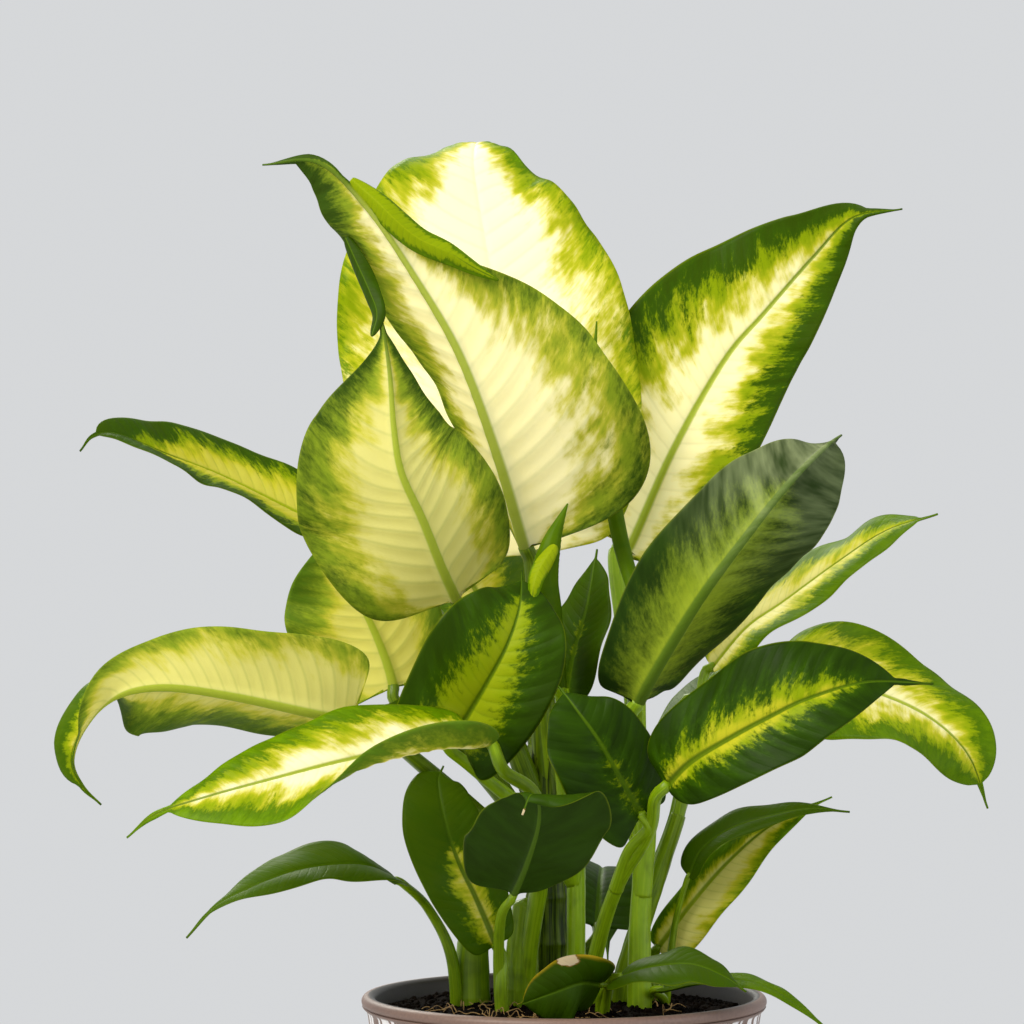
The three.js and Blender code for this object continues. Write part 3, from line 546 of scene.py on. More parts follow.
def joined(surfaces):
    """Several surfaces as one mesh."""
    starts = np.cumsum([0] + [len(points) for points, _, _ in surfaces])
    faces = [part + start for (_, parts, _), start in zip(surfaces, starts) for part in parts]
    fields = {name: np.concatenate([surface[2][name] for surface in surfaces]) for name in surfaces[0][2]}
    return np.concatenate([surface[0] for surface in surfaces]), faces, fields


def new_object(name, surface, material, smooth=True):
    """A mesh object at the origin from points, lists of faces and named values for each point."""
    points, faces, *fields = surface
    sizes = np.concatenate([np.full(len(part), part.shape[1]) for part in faces])
    corners = np.concatenate([part.reshape(-1) for part in faces]).astype(np.int32)
    mesh = bpy.data.meshes.new(name)
    mesh.vertices.add(len(points))
    mesh.vertices.foreach_set("co", points.astype(np.float32).reshape(-1))
    mesh.loops.add(len(corners))
    mesh.loops.foreach_set("vertex_index", corners)
    mesh.polygons.add(len(sizes))
    mesh.polygons.foreach_set("loop_start", (np.cumsum(sizes) - sizes).astype(np.int32))
    mesh.update(calc_edges=True)
    mesh.validate()
    for field, values in (fields[0] if fields else {}).items():
        kind, key = ("FLOAT", "value") if values.ndim == 1 else ("FLOAT_VECTOR", "vector")
        data = mesh.attributes.new(field, kind, "POINT").data
        data.foreach_set(key, values.astype(np.float32).reshape(-1))
    if smooth:
        mesh.shade_smooth()
    mesh.materials.append(material)
    piece = bpy.data.objects.new(name, mesh)
    bpy.context.scene.collection.objects.link(piece)
    return piece


def make_piece(name, surface, material, node=None, smooth=True):
    """A new object on the body root, with the finish of a slot, that may stand for a CAD node."""
    piece = new_object(name, surface, material, smooth)
    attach(piece, "root")
    if node:
        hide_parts(node)


# Materials


def hex_colour(text):
    """An sRGB hex colour as linear RGBA."""
    channels = [int(text[i:i + 2], 16) / 255 for i in (1, 3, 5)]
    linear = [c / 12.92 if c <= 0.04045 else ((c + 0.055) / 1.055) ** 2.4 for c in channels]
    return (*linear, 1.0)


# Short names for the nodes used most: type, settings, the inputs that take the values in turn, and the
# output. share is how far a value lies from low to high, with soft ends, and blend goes from its first colour
# to its second
NODES = {
    "share": ("MapRange", {"interpolation_type": "SMOOTHSTEP"}, ("Value", "From Min", "From Max"), "Result"),
    "blend": ("Mix", {"data_type": "RGBA"}, (0, 6, 7), 2),
    "stretch": ("VectorMath", {"operation": "MULTIPLY"}, (0, 1), 0),
    "noise": ("TexNoise", {}, ("Vector", "Scale", "Detail", "Roughness"), "Fac"),
    "vector": ("Attribute", {}, (), "Vector"),
    "number": ("Attribute", {}, (), "Fac"),
    "parts": ("SeparateXYZ", {}, (0,), slice(0, 3)),
    "place": ("TexCoord", {}, (), "Object"),
}
for operation in ("add", "subtract", "multiply", "divide", "power", "pingpong", "arctan2"):
    NODES[operation] = ("Math", {"operation": operation.upper()}, (0, 1), 0)


def add_node(tree, kind, *values, inputs=None, **settings):
    """Adds a node with its settings and returns its output, the first one if NODES names no other.

    values go to the inputs that NODES lists, and inputs maps the names of inputs to values. A value that is
    another node's output is linked.
    """
    kind, fixed, places, output = NODES.get(kind, (kind, {}, (), 0))
    node = tree.nodes.new("ShaderNode" + kind)
    for key, value in {**fixed, **settings}.items():
        setattr(node, key, value)
    for key, value in {**dict(zip(places, values)), **(inputs or {})}.items():
        if isinstance(value, bpy.types.NodeSocket):
            tree.links.new(value, node.inputs[key])
        else:
            node.inputs[key].default_value = value
    return node.outputs[output] if node.outputs else None


def new_material(name):
    """A material with an empty node tree, and the function that adds nodes to it."""
    material = bpy.data.materials.new(name)
    material.use_nodes = True
    material.node_tree.nodes.clear()
    return material, partial(add_node, material.node_tree)


def with_swings(add, value, swings):
    """A value with noises added to it, each swinging about nothing by its strength."""
    for noise, strength in swings:
        value = add("add", value, add("multiply", add("subtract", noise, 0.5), strength))
    return value


def layered(add, colour, layers):
    """A colour with others laid over it in turn, each by its share."""
    for share, over in layers:
        colour = add("blend", share, colour, over)
    return colour


def finished(material, shader, height, distance, strength):
    """Gives every shader the bumps of a height in metres, and ends the tree."""
    tree = material.node_tree
    relief = add_node(tree, "Bump", inputs={"Height": height, "Distance": distance, "Strength": strength})
    for node in tree.nodes:
        if node.bl_idname.startswith("ShaderNodeBsdf"):
            tree.links.new(relief, node.inputs["Normal"])
    add_node(tree, "OutputMaterial", inputs={"Surface": shader})
    return material


def leaf_material(settings):
    """Living leaf, grown: a waxy skin over thin flesh. Cream runs out from the midrib, turns yellow-green in
    soft blotches, breaks into short specks along the side veins and ends in a green edge. Light shines
    through, so that a leaf with the light behind it glows, and the wax gives a soft broad sheen."""
    material, add = new_material("leaf_waxy_variegated")
    fields = [add("vector", attribute_name=name) for name in ("vein", "place", "look", "worn")]
    (_, away, _), (u, out, rib_radius), (pale, warm, deep), (yellow, dry, crease) = (
        add("parts", field) for field in fields)
    vein = fields[0]
    under = add("number", attribute_name="under")

    # Noise over the place across and along the side veins, in millimetres, and the leaf's own number: streaks
    # 2 mm wide and 10 mm long, patches of 6 by 14 mm, specks of 1 by 2 mm, and blotches of 10 mm
    streaks = add("noise", add("stretch", vein, (0.5, 0.1, 1.0)), 1.0, 3.0, 0.6)
    patches = add("noise", add("stretch", vein, (0.16, 0.07, 1.7)), 1.0)
    specks = add("noise", add("stretch", vein, (0.8, 0.48, 2.3)), 1.0, 3.0, 0.7)
    blotches = add("noise", add("stretch", vein, (0.1, 0.085, 3.1)), 1.0, 2.0, 0.6)

    # How far a place lies inside the edge of the pale part, and how far inside the cream
    bare = add("subtract", 1.0, add("share", pale, 0.0, 0.14))
    middle = add("subtract", add("subtract", pale, out), add("multiply", bare, 0.8))
    inside = with_swings(add, middle, [(streaks, 0.32), (patches, 0.85), (specks, 0.75)])
    creamy = add("subtract", middle, add("multiply", add("power", u, 2.0), 0.2))
    creamy = with_swings(add, creamy, [(blotches, 1.0), (streaks, 0.35), (specks, 0.2)])

    # The border of the pale part is ragged above and soft below, where it shows through the flesh
    cool = add("subtract", 1.0, warm)
    soft = add("multiply", under, add("add", 0.1, add("multiply", cool, 0.14)))
    soft = add("add", 0.12, soft)
    border = add("share", inside, add("multiply", soft, -1.6), soft)
    mottle = add("multiply", add("share", patches, 0.3, 0.75), 0.4)
    near = add("multiply", add("share", inside, -0.5, 0.0), 0.6)
    first = add("multiply", add("share", creamy, -0.1, 0.25), add("share", warm, 0.0, 0.35))
    second = add("multiply", add("share", creamy, 0.1, 0.48), add("share", warm, 0.3, 1.0))

    # Thin green lines in the creases over the side veins, on the pale part only
    line = add("subtract", 1.0, add("share", add("pingpong", crease, 0.5), 0.0, 0.16))
    faint = add("multiply", line, add("subtract", 0.24, add("multiply", warm, 0.16)))

    # The midrib is a plain yellow-green, nearly lost on the whitest blades, and the very edge a light line
    rib = add("subtract", 1.0, add("share", add("divide", away, rib_radius), 0.3, 0.8))
    rib = add("multiply", rib, add("subtract", 0.9, add("share", warm, 0.92, 1.0)))
    rib_colour = add("blend", add("share", pale, 0.3, 0.7), settings.dark_midrib, settings.pale_midrib)
    rim = add("multiply", add("share", out, 0.975, 0.998), 0.3)

    # Old leaves have a yellow edge and dry torn spots, and some have a pale painted sheen in soft patches
    yellow = with_swings(add, yellow, [(patches, 0.3)])
    dry = with_swings(add, dry, [(specks, 0.8)])
    bloom = add("multiply", add("number", attribute_name="bloom"), add("share", patches, 0.15, 0.85))

    colour = layered(add, settings.fresh_green, [
        (deep, settings.deep_green),
        (mottle, settings.middle_green),
        (near, settings.middle_green),
        (border, settings.speck_green),
        (add("multiply", first, border), settings.yellow_cream),
        (add("multiply", second, border), settings.white_cream),
        (add("multiply", faint, border), settings.crease_green),
        (rib, rib_colour),
        (rim, settings.pale_midrib),
        (add("share", yellow, 0.45, 0.85), settings.yellowing),
        (add("share", dry, 0.35, 0.5), settings.dry_edge),
        (add("share", dry, 0.5, 0.62), settings.dry_spot),
        (bloom, settings.painted_sheen_colour),
    ])

    # The underside has less gloss and looks greyer
    dull = add("HueSaturation", inputs={"Saturation": 0.95, "Value": 0.97, "Color": colour})
    colour = add("blend", under, colour, dull)
    rough = add("add", 0.4, add("multiply", under, 0.12))
    rough = add("add", rough, add("multiply", patches, 0.08))

    wax = add("BsdfPrincipled", inputs={
        "Base Color": colour, "Roughness": rough, "IOR": 1.45, "Specular IOR Level": 0.1,
    })
    glow_colour = add("HueSaturation", inputs={"Saturation": 1.15, "Value": 1.3, "Color": colour})
    glow = add("BsdfTranslucent", inputs={"Color": glow_colour})
    mix = add("MixShader", inputs={0: 0.36, 1: wax, 2: glow})
    height = add("add", add("multiply", streaks, 0.6), add("multiply", specks, 0.3))
    height = add("subtract", height, add("multiply", line, 0.3))
    return finished(material, mix, height, 0.00025, 0.6)


def stalk_material(settings):
    """Fleshy green stalk, grown: smooth wet-looking skin with fine stripes along it, paler at the edges of
    the sheaths, and darker where the stalks are old. On the main cane and its leaf stalks, which stand in
    the shade behind the others, the dark old green is also painted shade. The skin gives long narrow
    highlights."""
    material, add = new_material("stalk_fleshy_green")
    field = add("vector", attribute_name="vein")
    age_and_shade, sheath_share, _ = add("parts", add("vector", attribute_name="look"))

    # Stripes a quarter of a millimetre wide and 30 mm long, blotches of 8 mm
    stripes = add("noise", add("stretch", field, (0.03, 5.0, 1.0)), 1.0, 3.0, 0.6)
    blotches = add("noise", add("stretch", field, (0.12, 0.9, 1.7)), 1.0)
    # The old green is real ageing, and on the main cane and its leaf stalks it is also painted shade
    young = add("blend", age_and_shade, settings.young_stalk, settings.old_and_shaded_stalk)
    colour = layered(add, young, [
        (add("share", stripes, 0.35, 0.7), settings.stripe),
        (0.55, young),
        (add("multiply", add("share", blotches, 0.45, 0.8), 0.35), settings.old_and_shaded_stalk),
        (add("multiply", sheath_share, 0.8), settings.sheath),
    ])
    skin = add("BsdfPrincipled", inputs={
        "Base Color": colour, "Roughness": 0.36, "Specular IOR Level": 0.25, "Subsurface Weight": 0.15,
        "Subsurface Radius": (0.6, 1.0, 0.2), "Subsurface Scale": 0.002,
    })
    return finished(material, skin, stripes, 0.00015, 0.5)


def glaze_material(settings):
    """Glazed stoneware, thrown and dipped: a dull mauve-brown glaze over the lip, and on the body upright
    dabs of white glaze laid with a brush. A semi-matt glaze gives a broad soft highlight."""
    material, add = new_material("stoneware_brushed_glaze")
    place = add("place")
    x, y, z = add("parts", place)
    along = add("multiply", add("arctan2", y, x), RIM_RADIUS * MM)
    round_pot = add("CombineXYZ", inputs={0: along, 1: z})

    # Dabs 3 mm wide and 25 mm tall, with bristle marks half a millimetre wide
    dabs = add("noise", add("stretch", round_pot, (260.0, 32.0, 0.0)), 1.0, 1.0)
    bristles = add("noise", add("stretch", round_pot, (1900.0, 60.0, 0.0)), 1.0)
    grain = add("noise", add("stretch", place, (900.0, 900.0, 900.0)), 1.0, 3.0)
    outside = add("number", attribute_name="outside")
    lip_foot = (POT_HEIGHT - LIP_HEIGHT) * MM
    below_lip = add("subtract", 1.0, add("share", z, lip_foot - 0.0004, lip_foot + 0.0008))
    ragged = with_swings(add, dabs, [(bristles, 0.22)])
    white = add("multiply", add("share", ragged, 0.47, 0.55), add("multiply", below_lip, outside))
    body = add("blend", grain, settings.glaze, settings.glaze_dark)
    # Inside the pot the colour is a plain very dark brown
    colour = layered(add, settings.inside, [(outside, body), (white, settings.dabs)])
    glaze = add("BsdfPrincipled", inputs={
        "Base Color": colour, "Roughness": 0.5, "IOR": 1.5, "Coat Weight": 0.05, "Coat Roughness": 0.3,
    })
    height = add("add", add("multiply", white, 0.8), add("multiply", grain, 0.25))
    return finished(material, glaze, height, 0.0004, 0.6)


def soil_material(settings):
    """Potting soil: damp peat with bark and fibre. It is nearly black, rough, and lighter on dry crumbs."""
    material, add = new_material("soil_damp_peat")
    place = add("place")
    crumbs = add("noise", add("stretch", place, (450.0, 450.0, 450.0)), 1.0, 4.0, 0.65)
    damp = add("noise", add("stretch", place, (60.0, 60.0, 60.0)), 1.0)
    colour = add("blend", add("share", crumbs, 0.4, 0.75), settings.damp, settings.dry)
    colour = add("blend", add("share", damp, 0.4, 0.6), settings.damp, colour)
    earth = add("BsdfPrincipled", inputs={
        "Base Color": colour, "Roughness": 0.95, "Specular IOR Level": 0.05,
    })
    return finished(material, earth, crumbs, 0.002, 1.0)


def root_material(settings):
    """Dry root and bark fibre: matt straw-brown, darker along its length in places."""
    material, add = new_material("root_dry_fibre")
    spots = add("noise", add("stretch", add("vector", attribute_name="vein"), (0.4, 1.0, 1.0)), 1.0)
    colour = add("blend", spots, settings.root_dark, settings.root)
    fibre = add("BsdfPrincipled", inputs={"Base Color": colour, "Roughness": 0.8, "IOR": 1.4})
    return finished(material, fibre, spots, 0.0003, 0.6)


def floor_material(settings):
    """Matt floor paint, rolled: a plain pale grey, faintly clouded."""
    material, add = new_material("floor_matt_paint")
    grain = add("noise", add("stretch", add("place"), (30.0, 30.0, 30.0)), 1.0, 3.0)
    colour = add("blend", add("multiply", grain, 0.12), settings.floor, settings.floor_light)
    paint = add("BsdfPrincipled", inputs={"Base Color": colour, "Roughness": 0.85})
    return finished(material, paint, grain, 0.0004, 0.2)


# Sizes and colours that a user would change


def colour_of(name, about, text):
    """A colour to choose, with its default as sRGB hex."""
    return bpy.props.FloatVectorProperty(
        name=name, description=about, subtype="COLOR", size=4, min=0, max=1, default=hex_colour(text))


def count_of(name, about, default, least=0):
    """A whole number to choose."""
    return bpy.props.IntProperty(name=name, description=about, default=default, min=least)


def size_of(name, about, default, unit="LENGTH"):
    """A length in metres or a power in watts to choose."""
    return bpy.props.FloatProperty(name=name, description=about, default=default, unit=unit)


class PotSettings(bpy.types.PropertyGroup):
    """Fineness and colours of the pot."""

    steps: count_of("Steps round", "Faces round the pot", 192, 24)
    glaze: colour_of("Glaze", "Glaze colour", "#82675a")
    glaze_dark: colour_of("Dark glaze", "Darker specks of the glaze", "#634e45")
    # The inside of the pot is a plain very dark brown, far darker than the glaze outside
    inside: colour_of("Inside", "Dark inside of the pot", "#241f14")
    dabs: colour_of("Dabs", "Brushed white glaze", "#e9e6e6")


class SoilSettings(bpy.types.PropertyGroup):
    """Sizes, counts and colours of the soil and the roots that lie on it."""

    crumbs: count_of("Crumbs", "Loose crumbs on the soil", 2600)
    crumb_size: size_of("Crumb size", "Radius of the largest crumbs", 0.0016)
    roots: count_of("Roots", "Loose root fibres on the soil", 46)
    seed: count_of("Seed", "Start of the random draws", 4)
    damp: colour_of("Damp", "Damp soil", "#0d0804")
    dry: colour_of("Dry", "Dry crumbs", "#1e130b")
    root: colour_of("Root", "Dry root fibres", "#c9a66c")
    root_dark: colour_of("Dark root", "Darker stretches of the fibres", "#6e4a26")


class StalkSettings(bpy.types.PropertyGroup):
    """Fineness and colours of the canes and leaf stalks."""

    sides: count_of("Sides", "Faces round a stalk", 40, 8)
    rows: count_of("Rows", "Rings along a stalk", 56, 8)
    young_stalk: colour_of("Young", "Young stalk", "#7fa200")
    # Dark old green, also painted shade on the main cane, which stands in the shade behind the other stalks
    old_and_shaded_stalk: colour_of("Old", "Old stalk and painted shade", "#182c00")
    stripe: colour_of("Stripe", "Fine stripes", "#9dba1c")
    sheath: colour_of("Sheath", "Pale edges of the sheaths", "#d3dba2")


class LeafSettings(bpy.types.PropertyGroup):
    """Fineness, thickness and colours of the leaves."""

    rows: count_of("Rows", "Rows from base to tip", 108, 12)
    columns: count_of("Columns", "Columns from edge to edge", 48, 8)
    thickness: size_of("Thickness", "Thickness of a blade beside the midrib", 0.0006)
    relief: size_of("Relief", "Height of the quilt between side veins", 0.0009)
    white_cream: colour_of("White cream", "Palest part of a blade", "#fbf6d2")
    yellow_cream: colour_of("Yellow cream", "Pale part of a yellower blade", "#ccc82c")
    speck_green: colour_of("Specks", "Yellow-green beside the cream", "#95a904")
    crease_green: colour_of("Crease", "Lines over the side veins", "#76930a")
    fresh_green: colour_of("Fresh green", "Edge of a young blade", "#7ca300")
    middle_green: colour_of("Middle green", "Mottling of the green", "#3e6400")
    deep_green: colour_of("Deep green", "Edge of an old blade", "#153000")
    pale_midrib: colour_of("Pale midrib", "Midrib of a pale blade", "#9fb00a")
    dark_midrib: colour_of("Dark midrib", "Midrib of a green blade", "#56760a")
    # Colour of the pale painted sheen that lies in patches on some blades
    painted_sheen_colour: colour_of("Painted sheen", "Pale painted sheen in patches", "#c2cb96")
    yellowing: colour_of("Yellowing", "Edge of a fading blade", "#c8a81c")
    dry_edge: colour_of("Dry edge", "Border of a torn spot", "#8a6a2c")
    dry_spot: colour_of("Dry spot", "Torn and dry part of a blade", "#d8c8a4")


class StageSettings(bpy.types.PropertyGroup):
    """The floor, the backdrop and the lights."""

    floor_radius: size_of("Floor radius", "Radius of the round floor", 1.0)
    key_power: size_of("Key power", "Power of the large soft light", 62.0, "POWER")
    back_power: size_of("Back power", "Power of the light behind the leaves", 26.0, "POWER")
    fill_power: size_of("Fill power", "Power of the light on the right", 8.0, "POWER")
    backdrop: colour_of("Backdrop", "Backdrop", "#eceef0")
    floor: colour_of("Floor", "Floor", "#b9bbbe")
    floor_light: colour_of("Floor light", "Clouds in the floor paint", "#cfd2d6")


SETTINGS = {
    "plant_pot": PotSettings,
    "plant_soil": SoilSettings,
    "plant_stalks": StalkSettings,
    "plant_leaves": LeafSettings,
    "plant_stage": StageSettings,
}


def inside_radius(z):
    """Radius of the pot's inside at height z: it widens with the share of the height to the power 0.85."""
    share = np.clip((z - FLOOR_THICKNESS) / (POT_HEIGHT - FLOOR_THICKNESS), 0, 1)
    bottom = FOOT_RADIUS - WALL
    top = RIM_RADIUS - LIP_OVERHANG - WALL
    return bottom + (top - bottom) * share**0.85


def rounding(radius, height, size, start, end, count):
    """Part of an ellipse with its top at a radius and height, from one angle in degrees to another."""
    across, down = np.broadcast_to(size, 2)
    turn = np.radians(np.linspace(start, end, count))
    return np.stack([radius + across * np.cos(turn), height - down + down * np.sin(turn)], -1)


class PLANT_OT_pot(bpy.types.Operator):
    """Adds the glazed pot"""

    bl_idname = "plant.pot"
    bl_label = "Pot"

    def execute(self, context):
        settings = context.scene.plant_pot
        lip_foot = POT_HEIGHT - LIP_HEIGHT
        rise = np.linspace(4, lip_foot - 1, 26)
        fall = np.linspace(POT_HEIGHT - 4.5, FLOOR_THICKNESS + 5, 26)
        # Radii and heights from below the foot up the outside, round the lip and down to the floor inside
        profile = np.concatenate([
            [[20, 0.6], [FOOT_RADIUS - 7, 0.6], [FOOT_RADIUS - 6.4, 0], [FOOT_RADIUS - 2, 0]],
            [[FOOT_RADIUS - 0.6, 0.5], [FOOT_RADIUS, 2]],
            np.stack([inside_radius(rise) + WALL, rise], -1),
            [[inside_radius(lip_foot) + WALL + 0.3, lip_foot], [RIM_RADIUS - 0.9, lip_foot + 0.8],
             [RIM_RADIUS - 0.3, lip_foot + 1.6]],
            rounding(RIM_RADIUS - LIP_ROUND, POT_HEIGHT, LIP_ROUND, -70, 90, 12),
            rounding(inside_radius(POT_HEIGHT) + INNER_ROUND[0], POT_HEIGHT, INNER_ROUND, 90, 175, 8),
            np.stack([inside_radius(fall), fall], -1),
            [[FOOT_RADIUS - WALL - 3, FLOOR_THICKNESS + 1], [FOOT_RADIUS - WALL - 6, FLOOR_THICKNESS],
             [20, FLOOR_THICKNESS]],
        ])
        grid = turned_rows(profile, around(settings.steps))
        points, faces = closed_rings(grid, [[0, 0, 0.6], [0, 0, FLOOR_THICKNESS]])
        radius = np.hypot(points[:, 0], points[:, 1]) / MM
        outside = (radius > inside_radius(points[:, 2] / MM) + 0.6 * WALL).astype(float)
        surface = (points, faces, {"outside": outside})
        make_piece("pot_glazed", surface, glaze_material(settings), "pot")
        return {"FINISHED"}


def soil_height(x, y):
    """Height of the soil: a low dome that falls with the square of the radius, with lumps 9 mm and crumbs
    2 mm across."""
    rng = np.random.default_rng(11)
    share = np.hypot(x, y) / inside_radius(SOIL_TOP)
    z = SOIL_TOP - 1.5 + (SOIL_DOME + 1) * (1 - share**2)
    z = z + 0.9 * lattice_noise(x / 9 + 20, y / 9 + 20, rng)
    return z + 0.5 * lattice_noise(x / 2 + 90, y / 2 + 90, rng)


def soil_surface():
    """Rings from the middle of the soil's base out to the wall, up it and in over its top, closed at both
    ends. Their heights on top come from soil_height."""
    turn = around(260)
    base = FLOOR_THICKNESS + SOIL_GAP
    levels = np.linspace(FLOOR_THICKNESS + 6, SOIL_TOP - 8, 8)
    wall = np.stack([inside_radius(levels) - SOIL_GAP, levels], -1)
    side = turned_rows([[20, base], [FOOT_RADIUS - WALL - 5, base], *wall], turn)
    radii = np.linspace(inside_radius(SOIL_TOP) - SOIL_GAP, 0.5, 76)
    top = turned_rows(np.stack([radii, 0 * radii], -1), turn)
    top[..., 2] = soil_height(top[..., 0], top[..., 1])
    middle = soil_height(np.zeros(1), np.zeros(1))[0]
    return closed_rings(np.concatenate([side, top]), [[0, 0, base], [0, 0, middle]])


def crumb_surface(count, size, rng):
    """Loose crumbs: twenty-sided lumps, each squashed and turned at random and half sunk in the soil.

    The twelve corners of a lump are (1, golden ratio, 0) in all its signs and turns, divided by their length.
    """
    golden = (1 + 5**0.5) / 2
    corners = np.array([
        [-1, golden, 0], [1, golden, 0], [-1, -golden, 0], [1, -golden, 0],
        [0, -1, golden], [0, 1, golden], [0, -1, -golden], [0, 1, -golden],
        [golden, 0, -1], [golden, 0, 1], [-golden, 0, -1], [-golden, 0, 1],
    ]) / 1.9
    faces = np.array([
        [0, 11, 5], [0, 5, 1], [0, 1, 7], [0, 7, 10], [0, 10, 11], [1, 5, 9], [5, 11, 4], [11, 10, 2],
        [10, 7, 6], [7, 1, 8], [3, 9, 4], [3, 4, 2], [3, 2, 6], [3, 6, 8], [3, 8, 9], [4, 9, 5],
        [2, 4, 11], [6, 2, 10], [8, 6, 7], [9, 8, 1],
    ])
    radius = (inside_radius(SOIL_TOP) - 2) * np.sqrt(rng.random(count))
    turn = 2 * np.pi * rng.random(count)
    x, y = radius * np.cos(turn), radius * np.sin(turn)
    z = soil_height(x, y) + 0.2
    scale = size / MM * (0.25 + 0.75 * rng.random((count, 1, 1)) ** 3) * rng.uniform(0.5, 1.3, (count, 1, 3))
    shape = corners * scale * rng.uniform(0.75, 1.2, (count, 12, 1))
    spin = np.linalg.qr(rng.normal(size=(count, 3, 3)))[0]
    spin = spin * np.sign(np.linalg.det(spin))[:, None, None]
    points = shape @ spin + np.stack([x, y, z], -1)[:, None]
    index = (faces + 12 * np.arange(count)[:, None, None]).reshape(-1, 3)
    return points.reshape(-1, 3) * MM, [index]


class PLANT_OT_soil(bpy.types.Operator):
    """Adds the potting soil with its loose crumbs"""

    bl_idname = "plant.soil"
    bl_label = "Soil"

    def execute(self, context):
        settings = context.scene.plant_soil
        material = soil_material(settings)
        make_piece("soil_bed", soil_surface(), material, "soil")
        crumbs = crumb_surface(settings.crumbs, settings.crumb_size, np.random.default_rng(settings.seed))
        make_piece("soil_crumbs", crumbs, material, smooth=False)
        return {"FINISHED"}


# Places on the soil where root fibres lie, in millimetres, with how far they scatter
ROOT_PLACES = [
    (-42, -20, 7), (-30, -30, 7), (-14, -38, 7), (-6, -44, 6), (-20, -20, 8), (40, -12, 7), (8, -30, 10),
]


class PLANT_OT_roots(bpy.types.Operator):
    """Adds the loose root fibres that lie on the soil"""

    bl_idname = "plant.roots"
    bl_label = "Roots"

    def execute(self, context):
        settings = context.scene.plant_soil
        rng = np.random.default_rng(settings.seed + 1)
        fibres = []
        # A fibre is a walk of five short steps, whose heading turns a little at random
        for number in range(settings.roots):
            x, y, scatter = ROOT_PLACES[number % len(ROOT_PLACES)]
            start = np.array([x, y]) + rng.normal(size=2) * scatter * 0.6
            heading = rng.uniform(0, 2 * np.pi) + np.cumsum(rng.normal(size=5) * 0.3)
            steps = rng.uniform(1.5, 4.5, 5)[:, None] * np.stack([np.cos(heading), np.sin(heading)], -1)
            places = start + np.cumsum(steps, axis=0)
            height = soil_height(places[:, 0], places[:, 1]) + 0.3 + rng.random(5) ** 2 * 3.2
            height[[0, 4]] -= 0.8
            path = np.column_stack([places, height])
            thick = rng.uniform(0.15, 0.32)
            fibres.append(tube_surface(path, lambda u, r=thick: r * (1 - 0.5 * u), 18, 6, number, (0, 0, 0)))
        make_piece("root_fibres", joined(fibres), root_material(settings))
        return {"FINISHED"}


def stalk_path(leaf):
    """The path of a leaf stalk, ending in line with the midrib and just inside the blade."""
    points, _ = smooth_path(leaf["rib"], [0, 0.01])
    heading = unit(points[1] - points[0])
    return [*leaf["path"], points[0] - 3 * leaf["stalk"][1] * heading, points[0] + 1.2 * heading]


def turned_away(turn, facing):
    """Angle from facing to turn, between minus half a turn and half a turn."""
    return (turn - facing + np.pi) % (2 * np.pi) - np.pi


def sheath_bulge(leaf):
    """A leaf stalk is grooved on the side that faces the middle of the plant, and its lower half has a thin
    raised edge on each side of the groove, where the sheath closes."""
    # The two directions are those that tube_surface takes across an upright stalk, turned inwards
    outward = np.array(leaf["rib"][0][:2], float) - leaf["path"][0][:2]
    facing = math.atan2(outward @ [0.29, 0.96], outward @ [0.96, -0.29])

    def bulge(u, turn):
        away = turned_away(turn, facing)
        low = np.clip((0.62 - u) * 4, 0, 1)
        return 1 + 0.3 * low * bump(np.abs(away) - 0.5, 0.13) - (0.16 + 0.1 * low) * bump(away, 0.42)

    return bulge


def jointed(spacing, first, height):
    """A cane has a ring of the given height at each old leaf's foot and swells a little above it. The edges
    of the sheaths round it run up it as three thin ridges."""

    def bulge(u, turn):
        step = (u / spacing + first) % 1
        ring = height * bump(np.minimum(step, 1 - step), 0.06)
        swelling = 0.4 * height * np.cos(2 * np.pi * step) + 0.02 * np.cos(3 * turn + 4 * u)
        ridges = 0
        for number in range(3):
            away = turned_away(turn, 2.1 * number + first * 6 + 0.7 * np.sin(2.4 * u + number))
            ridges = ridges + 0.09 * bump(away, 0.1) - 0.05 * bump(away - 0.2, 0.12)
        return 1 + ring + swelling + ridges

    return bulge


# How old and pale each cane or shoot looks: the share of the old green and of the pale sheath colour
STALK_LOOKS = {
    # The main cane is old, and its full share of the dark old green is also painted shade, as it stands
    # behind the other stalks
    "cane_main": (1.0, 0), "cane_centre": (0.0, 0), "cane_left": (0.4, 0), "cane_low_left": (0.35, 0),
    "cane_right": (0.1, 0.02), "cane_far_right": (0.45, 0), "stalks_front": (0.55, 0),
    "stalks_front_left": (0.2, 0.02), "stalks_rim": (0.7, 0), "stalks_low_right": (0.6, 0),
}


class PLANT_OT_stalks(bpy.types.Operator):
    """Adds the canes and leaf stalks, one piece for each shoot"""

    bl_idname = "plant.stalks"
    bl_label = "Canes and stalks"

    def execute(self, context):
        settings = context.scene.plant_stalks
        rows, sides = settings.rows, settings.sides
        material = stalk_material(settings)
        for number, (name, (age_and_shade, pale)) in enumerate(STALK_LOOKS.items()):
            # The radius changes evenly up a cane, and a little faster at the foot of a leaf stalk
            surfaces = []
            if name in CANES:
                low, high = CANES[name]["radii"]
                height = 0.06 if name == "cane_main" else 0.01
                bulge = jointed(0.16 + 0.04 * (number % 3), 0.2 * number, height)
                surfaces.append(tube_surface(
                    CANES[name]["path"], lambda u, a=low, b=high: a + (b - a) * u, rows * 2, sides, number,
                    (age_and_shade, pale, 0), bulge))
            for leaf in [*LEAVES.values(), *FURLED.values()]:
                if leaf["cane"] == name:
                    low, high = leaf["stalk"]
                    surfaces.append(tube_surface(
                        stalk_path(leaf), lambda u, a=low, b=high: b + (a - b) * (1 - u) ** 1.2, rows, sides,
                        len(surfaces) + 7 * number, (age_and_shade * 0.7, pale, 0), sheath_bulge(leaf)))
            make_piece("grown_" + name, joined(surfaces), material, name)
        return {"FINISHED"}


